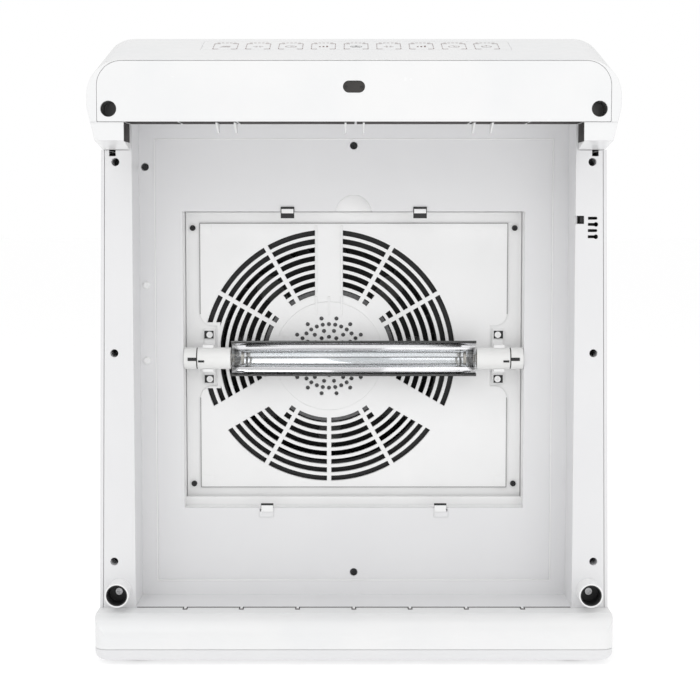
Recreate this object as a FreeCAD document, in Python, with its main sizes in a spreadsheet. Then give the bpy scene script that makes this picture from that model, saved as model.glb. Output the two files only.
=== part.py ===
import FreeCAD, Part
import math
import os
import re
import Sketcher

# Air purifier standing on its feet with the front cover and the filters taken off.
# Millimetres. +X is the right-hand side seen from the front, +Y the back, +Z up.
# The origin lies on the floor under the middle of the body.

SIZES = {
    # overall, and the clearances that pieces share
    "total_width": 453.8, "total_depth": 229, "total_height": 549,
    "foot_lift": 3, "seam": 0.3, "fit_gap": 0.05, "over": 1,
    # head
    "head_front_drop": 27.3, "ridge_setback": 111, "head_tall": 102, "head_flare": 7.9, "flare_drop": 67,
    "head_round": 29, "head_wall": 3, "back_round": 36, "leg_gap": 1.7, "leg_front_lift": 7, "leg_step": 1,
    "leg_room_rise": 10.5, "leg_side_wall": 6,
    # outlet in the top
    "outlet_width": 330, "outlet_setback": 9.5, "outlet_depth": 74, "grille_tall": 8, "grille_rim_side": 4,
    "grille_rim_end": 3, "grille_bar_pitch": 54, "grille_bar_wide": 2, "grille_bar_sink": 0.8,
    "slat_count": 10, "slat_wall": 1.3, "slat_lean": 2, "slat_inset": 0.4, "slat_start": 5.2,
    # head fascia
    "fascia_inset": 8.7, "fascia_tall": 51.2, "fascia_drop": 0.9, "fascia_round": 21, "fascia_foot_round": 1,
    "fascia_wall": 3, "shelf_wall": 2.2, "shelf_end_gap": 0.5, "shelf_rear_gap": 2,
    "pin_inset": 18.4, "pin_drop": 41.3, "pin_radius": 6.8, "pin_cup_depth": 24, "pin_cup_wall": 1.6,
    "pin_cup_floor": 2,
    "receiver_drop": 22.7, "receiver_width": 18.7, "receiver_tall": 10.2, "receiver_sink": 2,
    "receiver_wall": 1.6,
    "receiver_gap": 0.2, "receiver_screw_x": 6.6, "receiver_screw_head": 1, "receiver_screw_shank": 0.6,
    "receiver_board_wide": 28, "receiver_board_tall": 18, "eye_side": 6, "eye_deep": 1.2,
    "guide_pitch": 110.3, "guide_pair": 15.6, "guide_wall": 1.7, "guide_drop": 8.6, "guide_shift": 0.6,
    "guide_foot": 9, "guide_inset": 3,
    # printed control panel
    "panel_long": 272, "panel_wide": 46, "panel_shift": 2, "panel_setback": 60, "panel_wall": 0.6,
    "panel_gap": 0.15,
    "key_count": 9, "key_pitch": 28.8, "key_radius": 4.5, "key_room": 6, "touch_inset": 2,
    # body
    "strip_setback": 42, "body_inset_high": 6.1, "body_inset_low": 0.7, "shell_wall": 3,
    "shell_front_round": 1.2,
    "frame_wall": 2.5, "frame_side_gap": 0.4, "bay_inset": 32.9, "bay_rise": 25, "recess_depth": 52,
    "ledge_side": 14.5, "ledge_foot": 13.6, "ledge_rise": 10.7, "ledge_step": 2.5,
    "window_low": 122.3, "window_high": 393, "window_depth": 23, "finger_radius": 16.3, "finger_drop": 1.3,
    "snap_pitch": 47.5, "snap_wide": 4, "snap_high": 1.4,
    "label_panel_wide": 300, "label_panel_low": 100, "label_panel_high": 400, "label_panel_round": 12,
    "label_panel_deep": 1,
    # fan tray behind the window
    "tray_wall": 2, "hook_high_x": 60, "hook_high_wide": 11.7, "hook_high_tall": 9.6, "hook_high_drop": 1.5,
    "hook_low_x": 80.2, "hook_low_wide": 11.4, "hook_low_tall": 6.5, "hook_low_drop": 4.4,
    "hook_bar": 2.4, "hook_lead": 0.4, "hook_gap": 0.6, "hook_root_wide": 8, "hook_root_deep": 4,
    "hook_low_head": 1.6, "finger_end": 6, "step_tall": 7.7, "step_deep": 2.5, "step_lead": 7,
    "tray_lip": 10, "tray_lip_high": 4,
    # base
    "base_top": 42, "base_parting": 13.6, "nose_radius": 20, "nose_solid": 6, "base_front_round": 12,
    "base_wall": 3,
    "pan_round": 8, "foot_radius": 11, "foot_inset": 36.2, "foot_spread_y": 170, "foot_chamfer": 1.5,
    "pan_screw_x": 140, "pan_screw_y": 60, "base_screw_front": 36.5, "base_screw_rear": 40,
    "base_post_long": 18,
    "post_lap": 1,
    # fan guard
    "guard_side": 13.5, "guard_foot": 15.1, "guard_head": 10.8, "guard_round": 11, "guard_rise": 1.5,
    "guard_wall": 2.5,
    "guard_gap": 0.6, "fan_x": -22.8, "fan_z": 260, "slot_count": 8, "slot_first": 57.4, "slot_wide": 4.8,
    "slot_pitch": 7.75, "band_wide": 25.7, "spoke_wide": 4, "lobe_reach": 72.1, "lobe_sweep": 16,
    "hub_radius": 50, "hub_rise": 1, "vent_radius": 1.9, "vent_first": 5.9, "vent_pitch": 5.88,
    "corner_inset": 7, "corner_low": 18.7, "corner_high": 15.1, "pocket_side": 1.9, "pocket_low": 4,
    "pocket_high": 3,
    "lamp_bar_lap": 3, "post_x": 70, "post_side": 8, "rib_wide": 1.6, "rib_high": 1.2, "rib_side": 11.7,
    "rib_low": 38, "rib_middle": 55, "rib_high_end": 120, "rib_break": 3,
    # lamp, a standard tube
    "lamp_z": 259.3, "lamp_lead": 17, "lamp_radius": 8, "glass_wall": 0.8, "lamp_face": 288, "cap_long": 10,
    "sleeve_inner": 31.7, "sleeve_outer": 1.6, "sleeve_wall": 1.55, "boot_inner": 0.6, "boot_reach": 10.6,
    "boot_gap": 0.4,
    "trough_room": 7.5, "trough_sheet": 0.8, "trough_shift": 2, "holder_inner": 16.1, "holder_wide": 9.8,
    "holder_down": 23.3, "holder_up": 25.7, "holder_wall": 2.5, "holder_screw_reach": 20.5, "holder_web": 9,
    "lamp_pin_long": 7, "lamp_pin_radius": 1.2, "lamp_pin_half": 2.5, "boot_end_room": 0.5,
    "lead_long": 24, "lead_radius": 0.5, "lead_half": 3, "coil_radius": 0.9, "coil_half": 3.4,
    # motor and impeller
    "impeller_radius": 112, "wheel_lead": 12, "wheel_long": 74, "wheel_sheet": 2.2, "wheel_room": 11.1,
    "wheel_hub_radius": 14, "wheel_hub_long": 14, "wheel_hub_rear": 3, "rim_deep": 3, "rim_wide": 12,
    "blade_count": 36, "blade_inset": 1, "blade_deep": 16, "blade_wall": 1.4, "blade_bulge": 4.5,
    "petal_count": 8, "petal_in": 63, "petal_out": 83, "petal_in_radius": 6, "petal_out_radius": 12,
    "shaft_radius": 4, "nut_side": 3.5, "nut_deep": 4, "motor_radius": 45, "motor_long": 48,
    "motor_wall": 1.5,
    "motor_lip": 2.5, "motor_flange": 16, "motor_screw_out": 12, "bearing_radius": 11, "bearing_long": 7,
    "bearing_cup_wall": 3, "motor_cap_wall": 2, "stator_end": 5, "stator_wall": 13.5, "air_gap": 0.8,
    # scroll housing and outlet duct
    "scroll_gap": 12, "scroll_grow": 12, "scroll_wall": 2, "inlet_gap": 5, "throat_rise": 5,
    "duct_round": 3, "duct_side": 4, "duct_end": 3,
    # fasteners
    "hole_radius": 3.5, "screw_head": 3.1, "screw_head_small": 2.6, "screw_head_mid": 2.9,
    "screw_head_high": 2.2,
    "screw_shank": 1.6, "screw_long": 14, "cross_wide": 0.9, "cross_deep": 1.1, "cross_reach": 0.62,
    "post_radius": 5.5, "boss_long": 24, "boss_floor": 5, "wall_boss_long": 8, "shell_pilot": 12,
    "strip_screw_high_x": 18.5, "strip_screw_mid_x": 15.9, "strip_screw_low_x": 14, "strip_screw_drop": 10.6,
    "strip_screw_mid_z": 268.8, "strip_screw_low_z": 83,
    "wall_screw_rise": 5.4, "wall_screw_foot": 20.4, "flange_screw_side": 5.6, "flange_screw_drop": 13.8,
    "plug_side": 6, "plug_high": 326.5, "plug_low": 257.9, "plug_wall": 0.6, "plug_dome": 1.4,
    "plug_rim": 0.5,
    "plug_long": 6,
    # cover sockets
    "socket_inset": 18.5, "socket_rise": 14.9, "socket_out": 22, "socket_wall": 1.4, "socket_liner": 1,
    "socket_bore": 8.3, "socket_seat": 1.2, "socket_liner_drop": 0.5, "socket_screw_long": 20,
    # windows and slots in the side strips
    "strip_window_x": 16.05, "strip_window_wide": 5.7, "strip_window_drop": 5.5,
    "sensor_side": 11, "sensor_slot_long": 7, "sensor_slot_tall": 2.5, "sensor_z": 379.35,
    "sensor_pitch": 5.4,
    "sensor_eye": 2, "sensor_wall": 1.4, "sensor_deep": 26, "sensor_case_wide": 11.4,
    "sensor_case_half": 13.5,
    # interlock
    "interlock_z": 386, "notch_wide": 7.6, "notch_tall": 7, "plunger_side": 4.4, "plunger_wide": 2.8,
    "plunger_tall": 5.2,
    "plunger_lead": 3, "plunger_long": 11, "plunger_travel": 3, "plunger_play": 0.1, "switch_wall": 1.4,
    "switch_tall": 16, "switch_floor": 5, "switch_setback": 10,
    # electrics
    "board_wall": 1.6, "board_gap": 4.8, "board_front": -46, "board_rear": 56, "board_low": 112,
    "board_high": 248,
    "board_post_inset": 10, "board_post_rise": 18, "board_post_radius": 4, "board_hole": 1.7,
    "can_radius": 6, "can_tall": 14,
    "ballast_left": 60, "ballast_long": 90, "ballast_front": 18, "ballast_wide": 32, "ballast_tall": 22,
    "ballast_round": 3, "ballast_ear": 8, "ballast_ear_wide": 12, "ballast_ear_wall": 2,
    "inlet_x": -166.5, "inlet_wide": 27.4, "inlet_low": 60, "inlet_high": 80.4, "inlet_rim": 3,
    "inlet_rim_deep": 1.5,
    "inlet_wall": 2, "inlet_long": 20, "inlet_deep": 15, "inlet_gap": 0.2, "inlet_pin": 2,
    "inlet_pin_tall": 4,
    "inlet_pin_side": 7, "inlet_pin_rise": 2, "inlet_pin_sink": 5,
}

# Places and widths that many pieces share, each worked out from the sizes above.
PLACES = {
    "front_face": "-total_depth / 2",
    "rear_face": "total_depth / 2",
    "half_width": "total_width / 2",
    "head_front_top": "total_height - head_front_drop",
    "head_low": "total_height - head_tall",
    "flare_top": "total_height - flare_drop",
    "ridge_line": "front_face + ridge_setback",
    "head_slope": "head_front_drop / ridge_setback",
    "outlet_front": "ridge_line + outlet_setback",
    "outlet_rear": "outlet_front + outlet_depth",
    "fascia_high": "head_front_top - fascia_drop",
    "fascia_low": "fascia_high - fascia_tall",
    "fascia_half": "half_width - fascia_inset",
    "pin_height": "head_front_top - pin_drop",
    "receiver_height": "head_front_top - receiver_drop",
    "strip_face": "front_face + strip_setback",
    "flange_face": "strip_face + recess_depth",
    "ledge_face": "flange_face + ledge_step",
    "guard_face": "ledge_face + window_depth",
    "guard_seat": "guard_face + guard_rise",
    "guard_rear": "guard_seat + guard_wall",
    "tray_face": "ledge_face + frame_wall + seam",
    "tray_rear": "guard_rear + seam + frame_wall",
    "lamp_line": "guard_face - lamp_lead",
    "frame_low": "base_top - frame_wall",
    "frame_high": "head_low - seam",
    "bay_half": "half_width - bay_inset",
    "bay_high": "head_low + bay_rise",
    "leg_half": "bay_half + leg_gap",
    "ledge_half": "bay_half - ledge_side",
    "ledge_low": "base_top + ledge_foot",
    "ledge_high": "head_low + ledge_rise",
    "boot_end": "lamp_face / 2 + boot_reach",
    "window_half": "boot_end + boot_gap",
    "guard_half": "window_half - guard_side",
    "guard_low": "window_low + guard_foot",
    "guard_high": "window_high - guard_head",
    "finger_z": "window_high - finger_drop",
    "holder_in": "lamp_face / 2 - holder_inner",
    "holder_out": "holder_in + holder_wide",
    "holder_low": "lamp_z - holder_down",
    "holder_high": "lamp_z + holder_up",
    "pocket_x": "holder_in - pocket_side",
    "sleeve_start": "lamp_face / 2 - sleeve_inner",
    "sleeve_end": "lamp_face / 2 - sleeve_outer",
    "sleeve_radius": "lamp_radius + seam + sleeve_wall",
    "boot_start": "lamp_face / 2 - boot_inner",
    "glass_end": "lamp_face / 2 - cap_long",
    "trough_half": "sleeve_start - boot_gap",
    "trough_radius": "lamp_radius + trough_room",
    "wheel_face": "guard_rear + wheel_lead",
    "wheel_rear": "wheel_face + wheel_long",
    "motor_face": "guard_rear + seam",
    "motor_rear": "motor_face + motor_long",
    "motor_inside": "motor_face + motor_lip + bearing_long",
    "stator_radius": "motor_radius - motor_wall - seam",
    "rotor_radius": "stator_radius - stator_wall - air_gap",
    "scroll_face": "tray_rear + seam",
    "scroll_rear": "wheel_rear + wheel_room",
    "scroll_radius": "impeller_radius + scroll_gap",
    "scroll_shift": "scroll_grow / 2",
    "scroll_left": "fan_x - scroll_shift",
    "scroll_right": "fan_x + scroll_shift + scroll_radius + 2 * scroll_grow",
    "throat_top": "head_low + throat_rise",
    "socket_x": "half_width - socket_inset",
    "socket_z": "base_top + socket_rise",
    "boss_rear": "strip_face + boss_long + frame_wall",
    "board_line": "body_inset_high + board_gap - half_width",
    "inlet_left": "inlet_x - inlet_wide / 2",
    "inlet_right": "inlet_x + inlet_wide / 2",
}

doc = FreeCAD.newDocument("air_purifier")
sheet = doc.addObject("Spreadsheet::Sheet", "Sizes")
for row, (size_name, size_value) in enumerate(SIZES.items(), 1):
    sheet.set(f"A{row}", size_name)
    sheet.set(f"B{row}", str(size_value))
    sheet.setAlias(f"B{row}", size_name)
doc.recompute()

nodes = []
Vector = FreeCAD.Vector
SIDES = (("left", -1), ("right", 1))


def bound(text):
    """Write each shared place out in full and point each size name at the sheet."""
    def written_out(word):
        name = word.group()
        if name in PLACES:
            return f"({bound(PLACES[name])})"
        return "Sizes." + name if name in SIZES else name
    return re.sub(r"[a-z_]+", written_out, text)


def number(text):
    """The present value of an expression, to start a sketch near its solution."""
    value = sheet.evalExpression(bound(text).replace("Sizes.", ""))
    return float(getattr(value, "Value", value))


def count_of(name):
    """A whole number from the sheet."""
    return int(round(number(name)))


def around(centre, size):
    """A span of a given size about a centre."""
    return (f"({centre}) - ({size}) / 2", f"({centre}) + ({size}) / 2")


def past(low, high):
    """A span that a cutting tool takes, a little past both ends."""
    return (f"({low}) - over", f"({high}) + over")


def evenly(size):
    """A span of a given width about the middle of the body."""
    return (f"-({size}) / 2", f"({size}) / 2")


def mirrored(side, near, far):
    """A span along X, near and far from the middle, on one side."""
    return (near, far) if side > 0 else (f"-({far})", f"-({near})")


def block(name, across, deep, tall):
    """A box between two places on each axis."""
    box = doc.addObject("Part::Box", name)
    for prop, place, (low, high) in (("Length", "x", across), ("Width", "y", deep), ("Height", "z", tall)):
        box.setExpression(prop, bound(f"({high}) - ({low})"))
        box.setExpression(f"Placement.Base.{place}", bound(low))
    return box


def rod(name, axis, centre, ends, radius, sweep=None, start_angle=0):
    """A cylinder along an axis, from the first end to the second."""
    cylinder = doc.addObject("Part::Cylinder", name)
    turns = {"X": (Vector(0, 1, 0), 90), "Y": (Vector(1, 0, 0), -90), "Z": (Vector(0, 0, 1), 0)}
    turn = FreeCAD.Rotation(*turns[axis]).multiply(FreeCAD.Rotation(Vector(0, 0, 1), start_angle))
    cylinder.Placement = FreeCAD.Placement(Vector(), turn)
    cylinder.setExpression("Radius", bound(radius))
    cylinder.setExpression("Height", bound(f"({ends[1]}) - ({ends[0]})"))
    if sweep:
        cylinder.setExpression("Angle", bound(f"{sweep} * 1 deg"))
    others = [place for place in "XYZ" if place != axis]
    for place, spot in ((axis, ends[0]), (others[0], centre[0]), (others[1], centre[1])):
        cylinder.setExpression(f"Placement.Base.{place.lower()}", bound(spot))
    return cylinder


def pilot(name, axis, centre, ends):
    """A hole that a screw's shank runs in."""
    return rod(name, axis, centre, ends, "screw_shank + fit_gap")


def fuse(name, parts):
    """Pieces joined into one."""
    joined = doc.addObject("Part::MultiFuse", name)
    joined.Shapes = list(parts)
    return joined


def cut(name, base, tools):
    """A piece with the tools taken out of it."""
    tools = list(tools)
    result = doc.addObject("Part::Cut", name)
    result.Base = base
    result.Tool = tools[0] if len(tools) == 1 else fuse(name + "_tools", tools)
    return result


def common(name, first, second):
    """What two pieces share."""
    result = doc.addObject("Part::Common", name)
    result.Base = first
    result.Tool = second
    return result


def group(name, parts):
    """Separate like pieces that share one node."""
    result = doc.addObject("Part::Compound", name)
    result.Links = list(parts)
    return result


def ring(name, axis, centre, ends, outer, inner):
    """A tube."""
    return cut(name, rod(name + "_outer", axis, centre, ends, outer),
               [rod(name + "_bore", axis, centre, past(*ends), inner)])


def keep(piece, label=None):
    """Mark a finished sub-part, whose label is its node."""
    piece.Label = label or piece.Name
    nodes.append(piece)
    return piece


def sketch_in(body, role, offset="0"):
    """A sketch on one of a body's own origin planes, moved along the plane's normal."""
    sketch = body.newObject("Sketcher::SketchObject", body.Name + "_sketch")
    plane = next(item for item in body.Origin.OriginFeatures if item.Role == role)
    sketch.AttachmentSupport = [(plane, "")]
    sketch.MapMode = "FlatFace"
    sketch.setExpression("AttachmentOffset.Base.z", bound(offset))
    return sketch


def hold(sketch, kind, geometry, end, text):
    """Tie one end of a line to a distance from the sketch's origin."""
    index = sketch.addConstraint(Sketcher.Constraint(kind, -1, 1, geometry, end, number(text)))
    sketch.setExpression(f"Constraints[{index}]", bound(text))


def hold_radius(sketch, geometry, text):
    """Tie an arc or a circle to its radius."""
    index = sketch.addConstraint(Sketcher.Constraint("Radius", geometry, number(text)))
    sketch.setExpression(f"Constraints[{index}]", bound(text))


def outline(sketch, points):
    """A closed outline of straight lines whose corners are named places."""
    spots = [Vector(number(first), number(second), 0) for first, second in points]
    count = len(points)
    for index in range(count):
        sketch.addGeometry(Part.LineSegment(spots[index], spots[(index + 1) % count]))
    for index in range(count):
        sketch.addConstraint(Sketcher.Constraint("Coincident", index, 2, (index + 1) % count, 1))
    for index, (first, second) in enumerate(points):
        hold(sketch, "DistanceX", index, 1, first)
        hold(sketch, "DistanceY", index, 1, second)


def rounded(sketch, left, right, low, high, radii):
    """A rectangle with round corners, radii from the low left corner and round to the left."""
    x = (number(left), number(right))
    y = (number(low), number(high))
    corners = ((x[0], y[0], 1, 1), (x[1], y[0], -1, 1), (x[1], y[1], -1, -1), (x[0], y[1], 1, -1))
    for quarter, ((corner_x, corner_y, side_x, side_y), text) in enumerate(zip(corners, radii)):
        radius = number(text)
        centre = Vector(corner_x + side_x * radius, corner_y + side_y * radius, 0)
        circle = Part.Circle(centre, Vector(0, 0, 1), radius)
        first = math.pi + quarter * math.pi / 2
        sketch.addGeometry(Part.ArcOfCircle(circle, first, first + math.pi / 2))
    for index in range(4):
        start = sketch.getPoint(index, 2)
        end = sketch.getPoint((index + 1) % 4, 1)
        sketch.addGeometry(Part.LineSegment(start, end))
    for index in range(4):
        sketch.addConstraint(Sketcher.Constraint("Tangent", index, 2, 4 + index, 1))
        sketch.addConstraint(Sketcher.Constraint("Tangent", 4 + index, 2, (index + 1) % 4, 1))
        sketch.addConstraint(Sketcher.Constraint("Horizontal" if index % 2 == 0 else "Vertical", 4 + index))
        hold_radius(sketch, index, radii[index])
    hold(sketch, "DistanceY", 4, 1, low)
    hold(sketch, "DistanceX", 5, 1, right)
    hold(sketch, "DistanceY", 6, 1, high)
    hold(sketch, "DistanceX", 7, 1, left)


def add_feature(body, kind, sketch, **settings):
    """A pad, pocket or revolution of a sketch, with expressions for its lengths."""
    feature = body.newObject("PartDesign::" + kind, f"{body.Name}_{kind.lower()}")
    feature.Profile = sketch
    for prop, text in settings.items():
        if isinstance(text, str):
            feature.setExpression(prop, bound(text))
        else:
            setattr(feature, prop, text)
    body.Tip = feature
    return feature


def prism(name, role, points, start, length):
    """A straight-sided solid that runs from a plane's offset along its normal."""
    body = doc.addObject("PartDesign::Body", name)
    sketch = sketch_in(body, role, start)
    outline(sketch, points)
    add_feature(body, "Pad", sketch, Length=length)
    return body


def slab(name, role, sides, radii, start, length):
    """A round-cornered plate on a plane, sides as left, right, low, high."""
    body = doc.addObject("PartDesign::Body", name)
    sketch = sketch_in(body, role, start)
    rounded(sketch, *sides, radii)
    add_feature(body, "Pad", sketch, Length=length)
    return body


def loft(name, low, low_sides, high, high_sides, radii):
    """A solid between two round-cornered outlines at two heights."""
    body = doc.addObject("PartDesign::Body", name)
    sketches = []
    for height, sides in ((low, low_sides), (high, high_sides)):
        sketch = sketch_in(body, "XY_Plane", height)
        rounded(sketch, *sides, radii)
        sketches.append(sketch)
    joined = body.newObject("PartDesign::AdditiveLoft", name + "_loft")
    joined.Profile = sketches[0]
    joined.Sections = [sketches[1]]
    body.Tip = joined
    return body


def turned(name, axis, profile, centre):
    """A turned piece about Y or Z: its profile is (radius, place along the axis)."""
    body = doc.addObject("PartDesign::Body", name)
    sketch = sketch_in(body, {"Y": "XY_Plane", "Z": "XZ_Plane"}[axis])
    outline(sketch, profile)
    feature = add_feature(body, "Revolution", sketch, Angle=360.0)
    feature.ReferenceAxis = (sketch, ["V_Axis"])
    for place, spot in zip([spot for spot in "xyz" if spot != axis.lower()], centre):
        body.setExpression(f"Placement.Base.{place}", bound(spot))
    return body


def screw(name, spot, facing, head="screw_head", long="screw_long"):
    """A cross-head screw whose head stands on a seat and faces one way along an axis."""
    axis = facing[1]
    sign = 1 if facing[0] == "+" else -1
    order = sign
    places = dict(zip("XYZ", spot))
    seat = places[axis]
    others = [place for place in "XYZ" if place != axis]
    centre = [places[place] for place in others]
    top = f"({seat}) + {sign} * screw_head_high"
    tail = f"({seat}) - {sign} * ({long})"
    floor = f"({seat}) + {sign} * (screw_head_high - cross_deep)"
    clear = f"({seat}) + {sign} * (screw_head_high + over)"
    body = fuse(name + "_body", [rod(name + "_head", axis, centre, (seat, top)[::order], head),
                                 rod(name + "_shank", axis, centre, (tail, seat)[::order], "screw_shank")])
    arms = []
    for turn in (1, -1):
        sizes = (f"2 * cross_reach * {head}", "cross_wide")[::turn]
        spans = {axis: (floor, clear)[::order]}
        for place, size in zip(others, sizes):
            spans[place] = around(places[place], size)
        arms.append(block(f"{name}_arm{turn > 0}", spans["X"], spans["Y"], spans["Z"]))
    return cut(name, body, arms)


def body_edge(height, inset):
    """How far out the tapered body reaches at a height, less an inset."""
    taper = "(body_inset_high - body_inset_low) / (head_low - base_top)"
    return f"(half_width - body_inset_high + (head_low - ({height})) * {taper} - ({inset}))"


# ---------------------------------------------------------------- base
def base_plan(inset):
    """The base's outline less an inset."""
    half = f"(half_width - body_inset_low - ({inset}))"
    return (f"-{half}", half, f"front_face + {inset}", f"rear_face - ({inset})")


def base_corners(inset):
    """The radii of the base's corners less an inset, front first."""
    return [f"{corner} - ({inset})" for corner in ("base_front_round",) * 2 + ("back_round",) * 2]


def make_base():
    """The plinth with its round nose, open below, with posts for the pan's screws."""
    wide = ("-total_width", "total_width")
    whole = slab("base_plan", "XY_Plane", base_plan("0"), base_corners("0"), "base_parting + seam",
                 "base_top - base_parting - 2 * seam")
    nose_low = "base_top - seam - nose_radius"
    nose = cut("base_nose", block("base_nose_block", wide, ("front_face - over", "front_face + nose_radius"),
                                  (nose_low, "base_top + over")),
               [rod("base_nose_rod", "X", ("front_face + nose_radius", nose_low), wide, "nose_radius")])
    step = block("base_step", wide, ("strip_face - seam", "rear_face + over"),
                 ("frame_low - seam", "base_top + over"))
    hollow = slab("base_hollow", "XY_Plane", base_plan("base_wall"), base_corners("base_wall"), "0",
                  "frame_low - seam - base_wall")
    nose_rear = "front_face + nose_radius + nose_solid"
    cap = block("base_cap", wide, (nose_rear, "rear_face"), ("0", "frame_low"))
    lip = block("base_lip_room", wide, ("front_face", nose_rear), ("0", "base_top - nose_radius"))
    inside = common("base_inside", hollow, fuse("base_inside_zone", [cap, lip]))
    ports = [pilot(f"base_port{index}", "Z", spot, ("0", "base_top"))
             for index, spot in enumerate(base_screw_spots())]
    post_foot = "foot_lift + base_wall + seam"
    posts = [rod(f"base_post{index}", "Z", spot, (post_foot, "frame_low - seam - base_wall + over"),
                 "post_radius")
             for index, spot in enumerate(pan_screw_spots())]
    ports += [pilot(f"base_post_bore{index}", "Z", spot, ("0", f"{post_foot} + shell_pilot"))
              for index, spot in enumerate(pan_screw_spots())]
    shell = cut("base_shell", whole, [nose, step, inside])
    keep(cut("base", fuse("base_solid", [shell] + posts), ports))


def base_screw_spots():
    """Where the rear shell is screwed down through the base's deck, as x and y."""
    reach = body_edge("frame_low", "shell_wall + post_radius - post_lap")
    return [(f"{side} * {reach}", y) for _, side in SIDES
            for y in ("strip_face + base_screw_front", "rear_face - base_screw_rear")]


def make_base_pan():
    """The shallow pan that closes the base, rounded where it meets the floor."""
    body = slab("base_pan_solid", "XY_Plane", base_plan("0"), base_corners("0"), "foot_lift",
                "base_parting - foot_lift")
    doc.recompute()
    pad = body.Tip
    floor_edges = [f"Edge{index}" for index, edge in enumerate(pad.Shape.Edges, 1)
                   if edge.BoundBox.ZMax < number("foot_lift + seam")]
    fillet = body.newObject("PartDesign::Fillet", "base_pan_fillet")
    fillet.Base = (pad, floor_edges)
    fillet.setExpression("Radius", bound("pan_round"))
    body.Tip = fillet
    inset = "base_wall + pan_round / 2"
    hollow = slab("base_pan_hollow", "XY_Plane", base_plan(inset), base_corners(inset),
                  "foot_lift + base_wall",
                  "base_parting")
    holes = [pilot(f"base_pan_hole{index}", "Z", spot, ("0", "base_parting"))
             for index, spot in enumerate(pan_screw_spots())]
    keep(cut("base_pan", body, [hollow] + holes))


def pan_screw_spots():
    """Screws that hold the pan up against the base, as x and y."""
    return [(f"{side} * pan_screw_x", f"{end} * pan_screw_y") for _, side in SIDES for _, end in SIDES]


def make_feet():
    """Four rubber feet."""
    profile = [("0", "0"), ("foot_radius - foot_chamfer", "0"), ("foot_radius", "foot_chamfer"),
               ("foot_radius", "foot_lift"), ("0", "foot_lift")]
    spots = [(f"{side} * (half_width - body_inset_low - foot_inset)", f"{end} * foot_spread_y / 2")
             for _, side in SIDES for _, end in SIDES]
    keep(group("feet", [turned(f"foot{index}", "Z", profile, spot) for index, spot in enumerate(spots)]))


# ---------------------------------------------------------------- front frame
def strip_screw_spots():
    """The six screws down the side strips, as x and z."""
    column = (("strip_screw_high_x", "head_low - strip_screw_drop"),
              ("strip_screw_mid_x", "strip_screw_mid_z"),
              ("strip_screw_low_x", "strip_screw_low_z"))
    return [(f"{side} * (half_width - {inset})", z) for _, side in SIDES for inset, z in column]


def wall_screw_spots():
    """Screws in the recess, as x, z and the face they go in: two in the middle, one on the left flange."""
    return [("0", "head_low + wall_screw_rise", "ledge_face"),
            ("0", "base_top + wall_screw_foot", "flange_face"),
            ("flange_screw_side - bay_half", "head_low - flange_screw_drop", "flange_face")]


def hook_spots():
    """The four snap hooks around the window: x, z, and the width and height of their slots."""
    high = [(f"{side} * hook_high_x", "window_high - hook_high_drop", "hook_high_wide", "hook_high_tall")
            for _, side in SIDES]
    low = [(f"{side} * hook_low_x", "window_low - hook_low_drop", "hook_low_wide", "hook_low_tall")
           for _, side in SIDES]
    return high + low


def frame_screw_features():
    """The bosses behind the frame's faces and the holes down them."""
    bosses = []
    holes = []
    for index, (x, z) in enumerate(strip_screw_spots()):
        bosses.append(rod(f"frame_boss{index}", "Y", (x, z), ("strip_face", "boss_rear"), "post_radius"))
        holes.append(rod(f"frame_hole{index}", "Y", (x, z), ("strip_face - over", "strip_face + boss_long"),
                         "hole_radius"))
        holes.append(pilot(f"frame_pilot{index}", "Y", (x, z), ("strip_face", "boss_rear + over")))
    for index, (x, z, wall) in enumerate(wall_screw_spots()):
        back = "ledge_face + frame_wall + wall_boss_long"
        bosses.append(rod(f"wall_boss{index}", "Y", (x, z), (wall, back), "post_radius"))
        holes.append(rod(f"wall_hole{index}", "Y", (x, z), (f"{wall} - over", f"{wall} + boss_floor"),
                         "hole_radius"))
        holes.append(pilot(f"wall_pilot{index}", "Y", (x, z), (wall, f"{back} + over")))
    for index, spot in enumerate(socket_spots()):
        bosses.append(rod(f"socket_boss{index}", "Y", spot, ("strip_face", "strip_face + boss_long"),
                          "post_radius"))
        holes.append(pilot(f"socket_pilot{index}", "Y", spot, past("strip_face", "strip_face + boss_long")))
    return bosses, holes


def make_front_frame():
    """The side strips and the deep recess with its window, moulded in one piece."""
    inset = "shell_wall + frame_side_gap"
    edge_low = body_edge("frame_low", inset)
    edge_high = body_edge("frame_high", inset)
    face = prism("frame_face", "XZ_Plane", [(f"-{edge_low}", "frame_low"), (edge_low, "frame_low"),
                                            (edge_high, "frame_high"), (f"-{edge_high}", "frame_high")],
                 "-(strip_face + frame_wall)", "frame_wall")
    bay = block("frame_bay", evenly("2 * (bay_half + frame_wall)"), ("strip_face", "ledge_face + frame_wall"),
                ("frame_low", "bay_high + frame_wall"))
    bosses, holes = frame_screw_features()
    solid = fuse("frame_solid", [face, bay] + bosses + base_snaps())
    bay_hole = block("frame_bay_hole", evenly("2 * bay_half"), ("strip_face - over", "flange_face"),
                     ("base_top", "bay_high"))
    ledge = block("frame_ledge", evenly("2 * ledge_half"), ("flange_face - over", "ledge_face"),
                  ("ledge_low", "ledge_high"))
    keep(cut("front_frame", solid,
             [bay_hole, ledge, window_hole()] + holes + hook_slots() + strip_slots() + plug_holes()))


def window_hole():
    """The window with the half-round finger recess at the middle of its top."""
    span = past("ledge_face", "ledge_face + frame_wall")
    opening = block("window_box", evenly("2 * window_half"), span, ("window_low", "window_high"))
    return fuse("window_hole", [opening, rod("window_finger", "Y", ("0", "finger_z"), span, "finger_radius")])


def base_snaps():
    """Small snap tabs along the front edge of the recess floor, three each side of the middle."""
    return [block(f"base_snap{index}{name}", around(f"{side} * {index} * snap_pitch", "snap_wide"),
                  ("strip_face", "strip_face + frame_wall"), ("base_top - over", "base_top + snap_high"))
            for name, side in SIDES for index in (1, 2, 3)]


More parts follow.
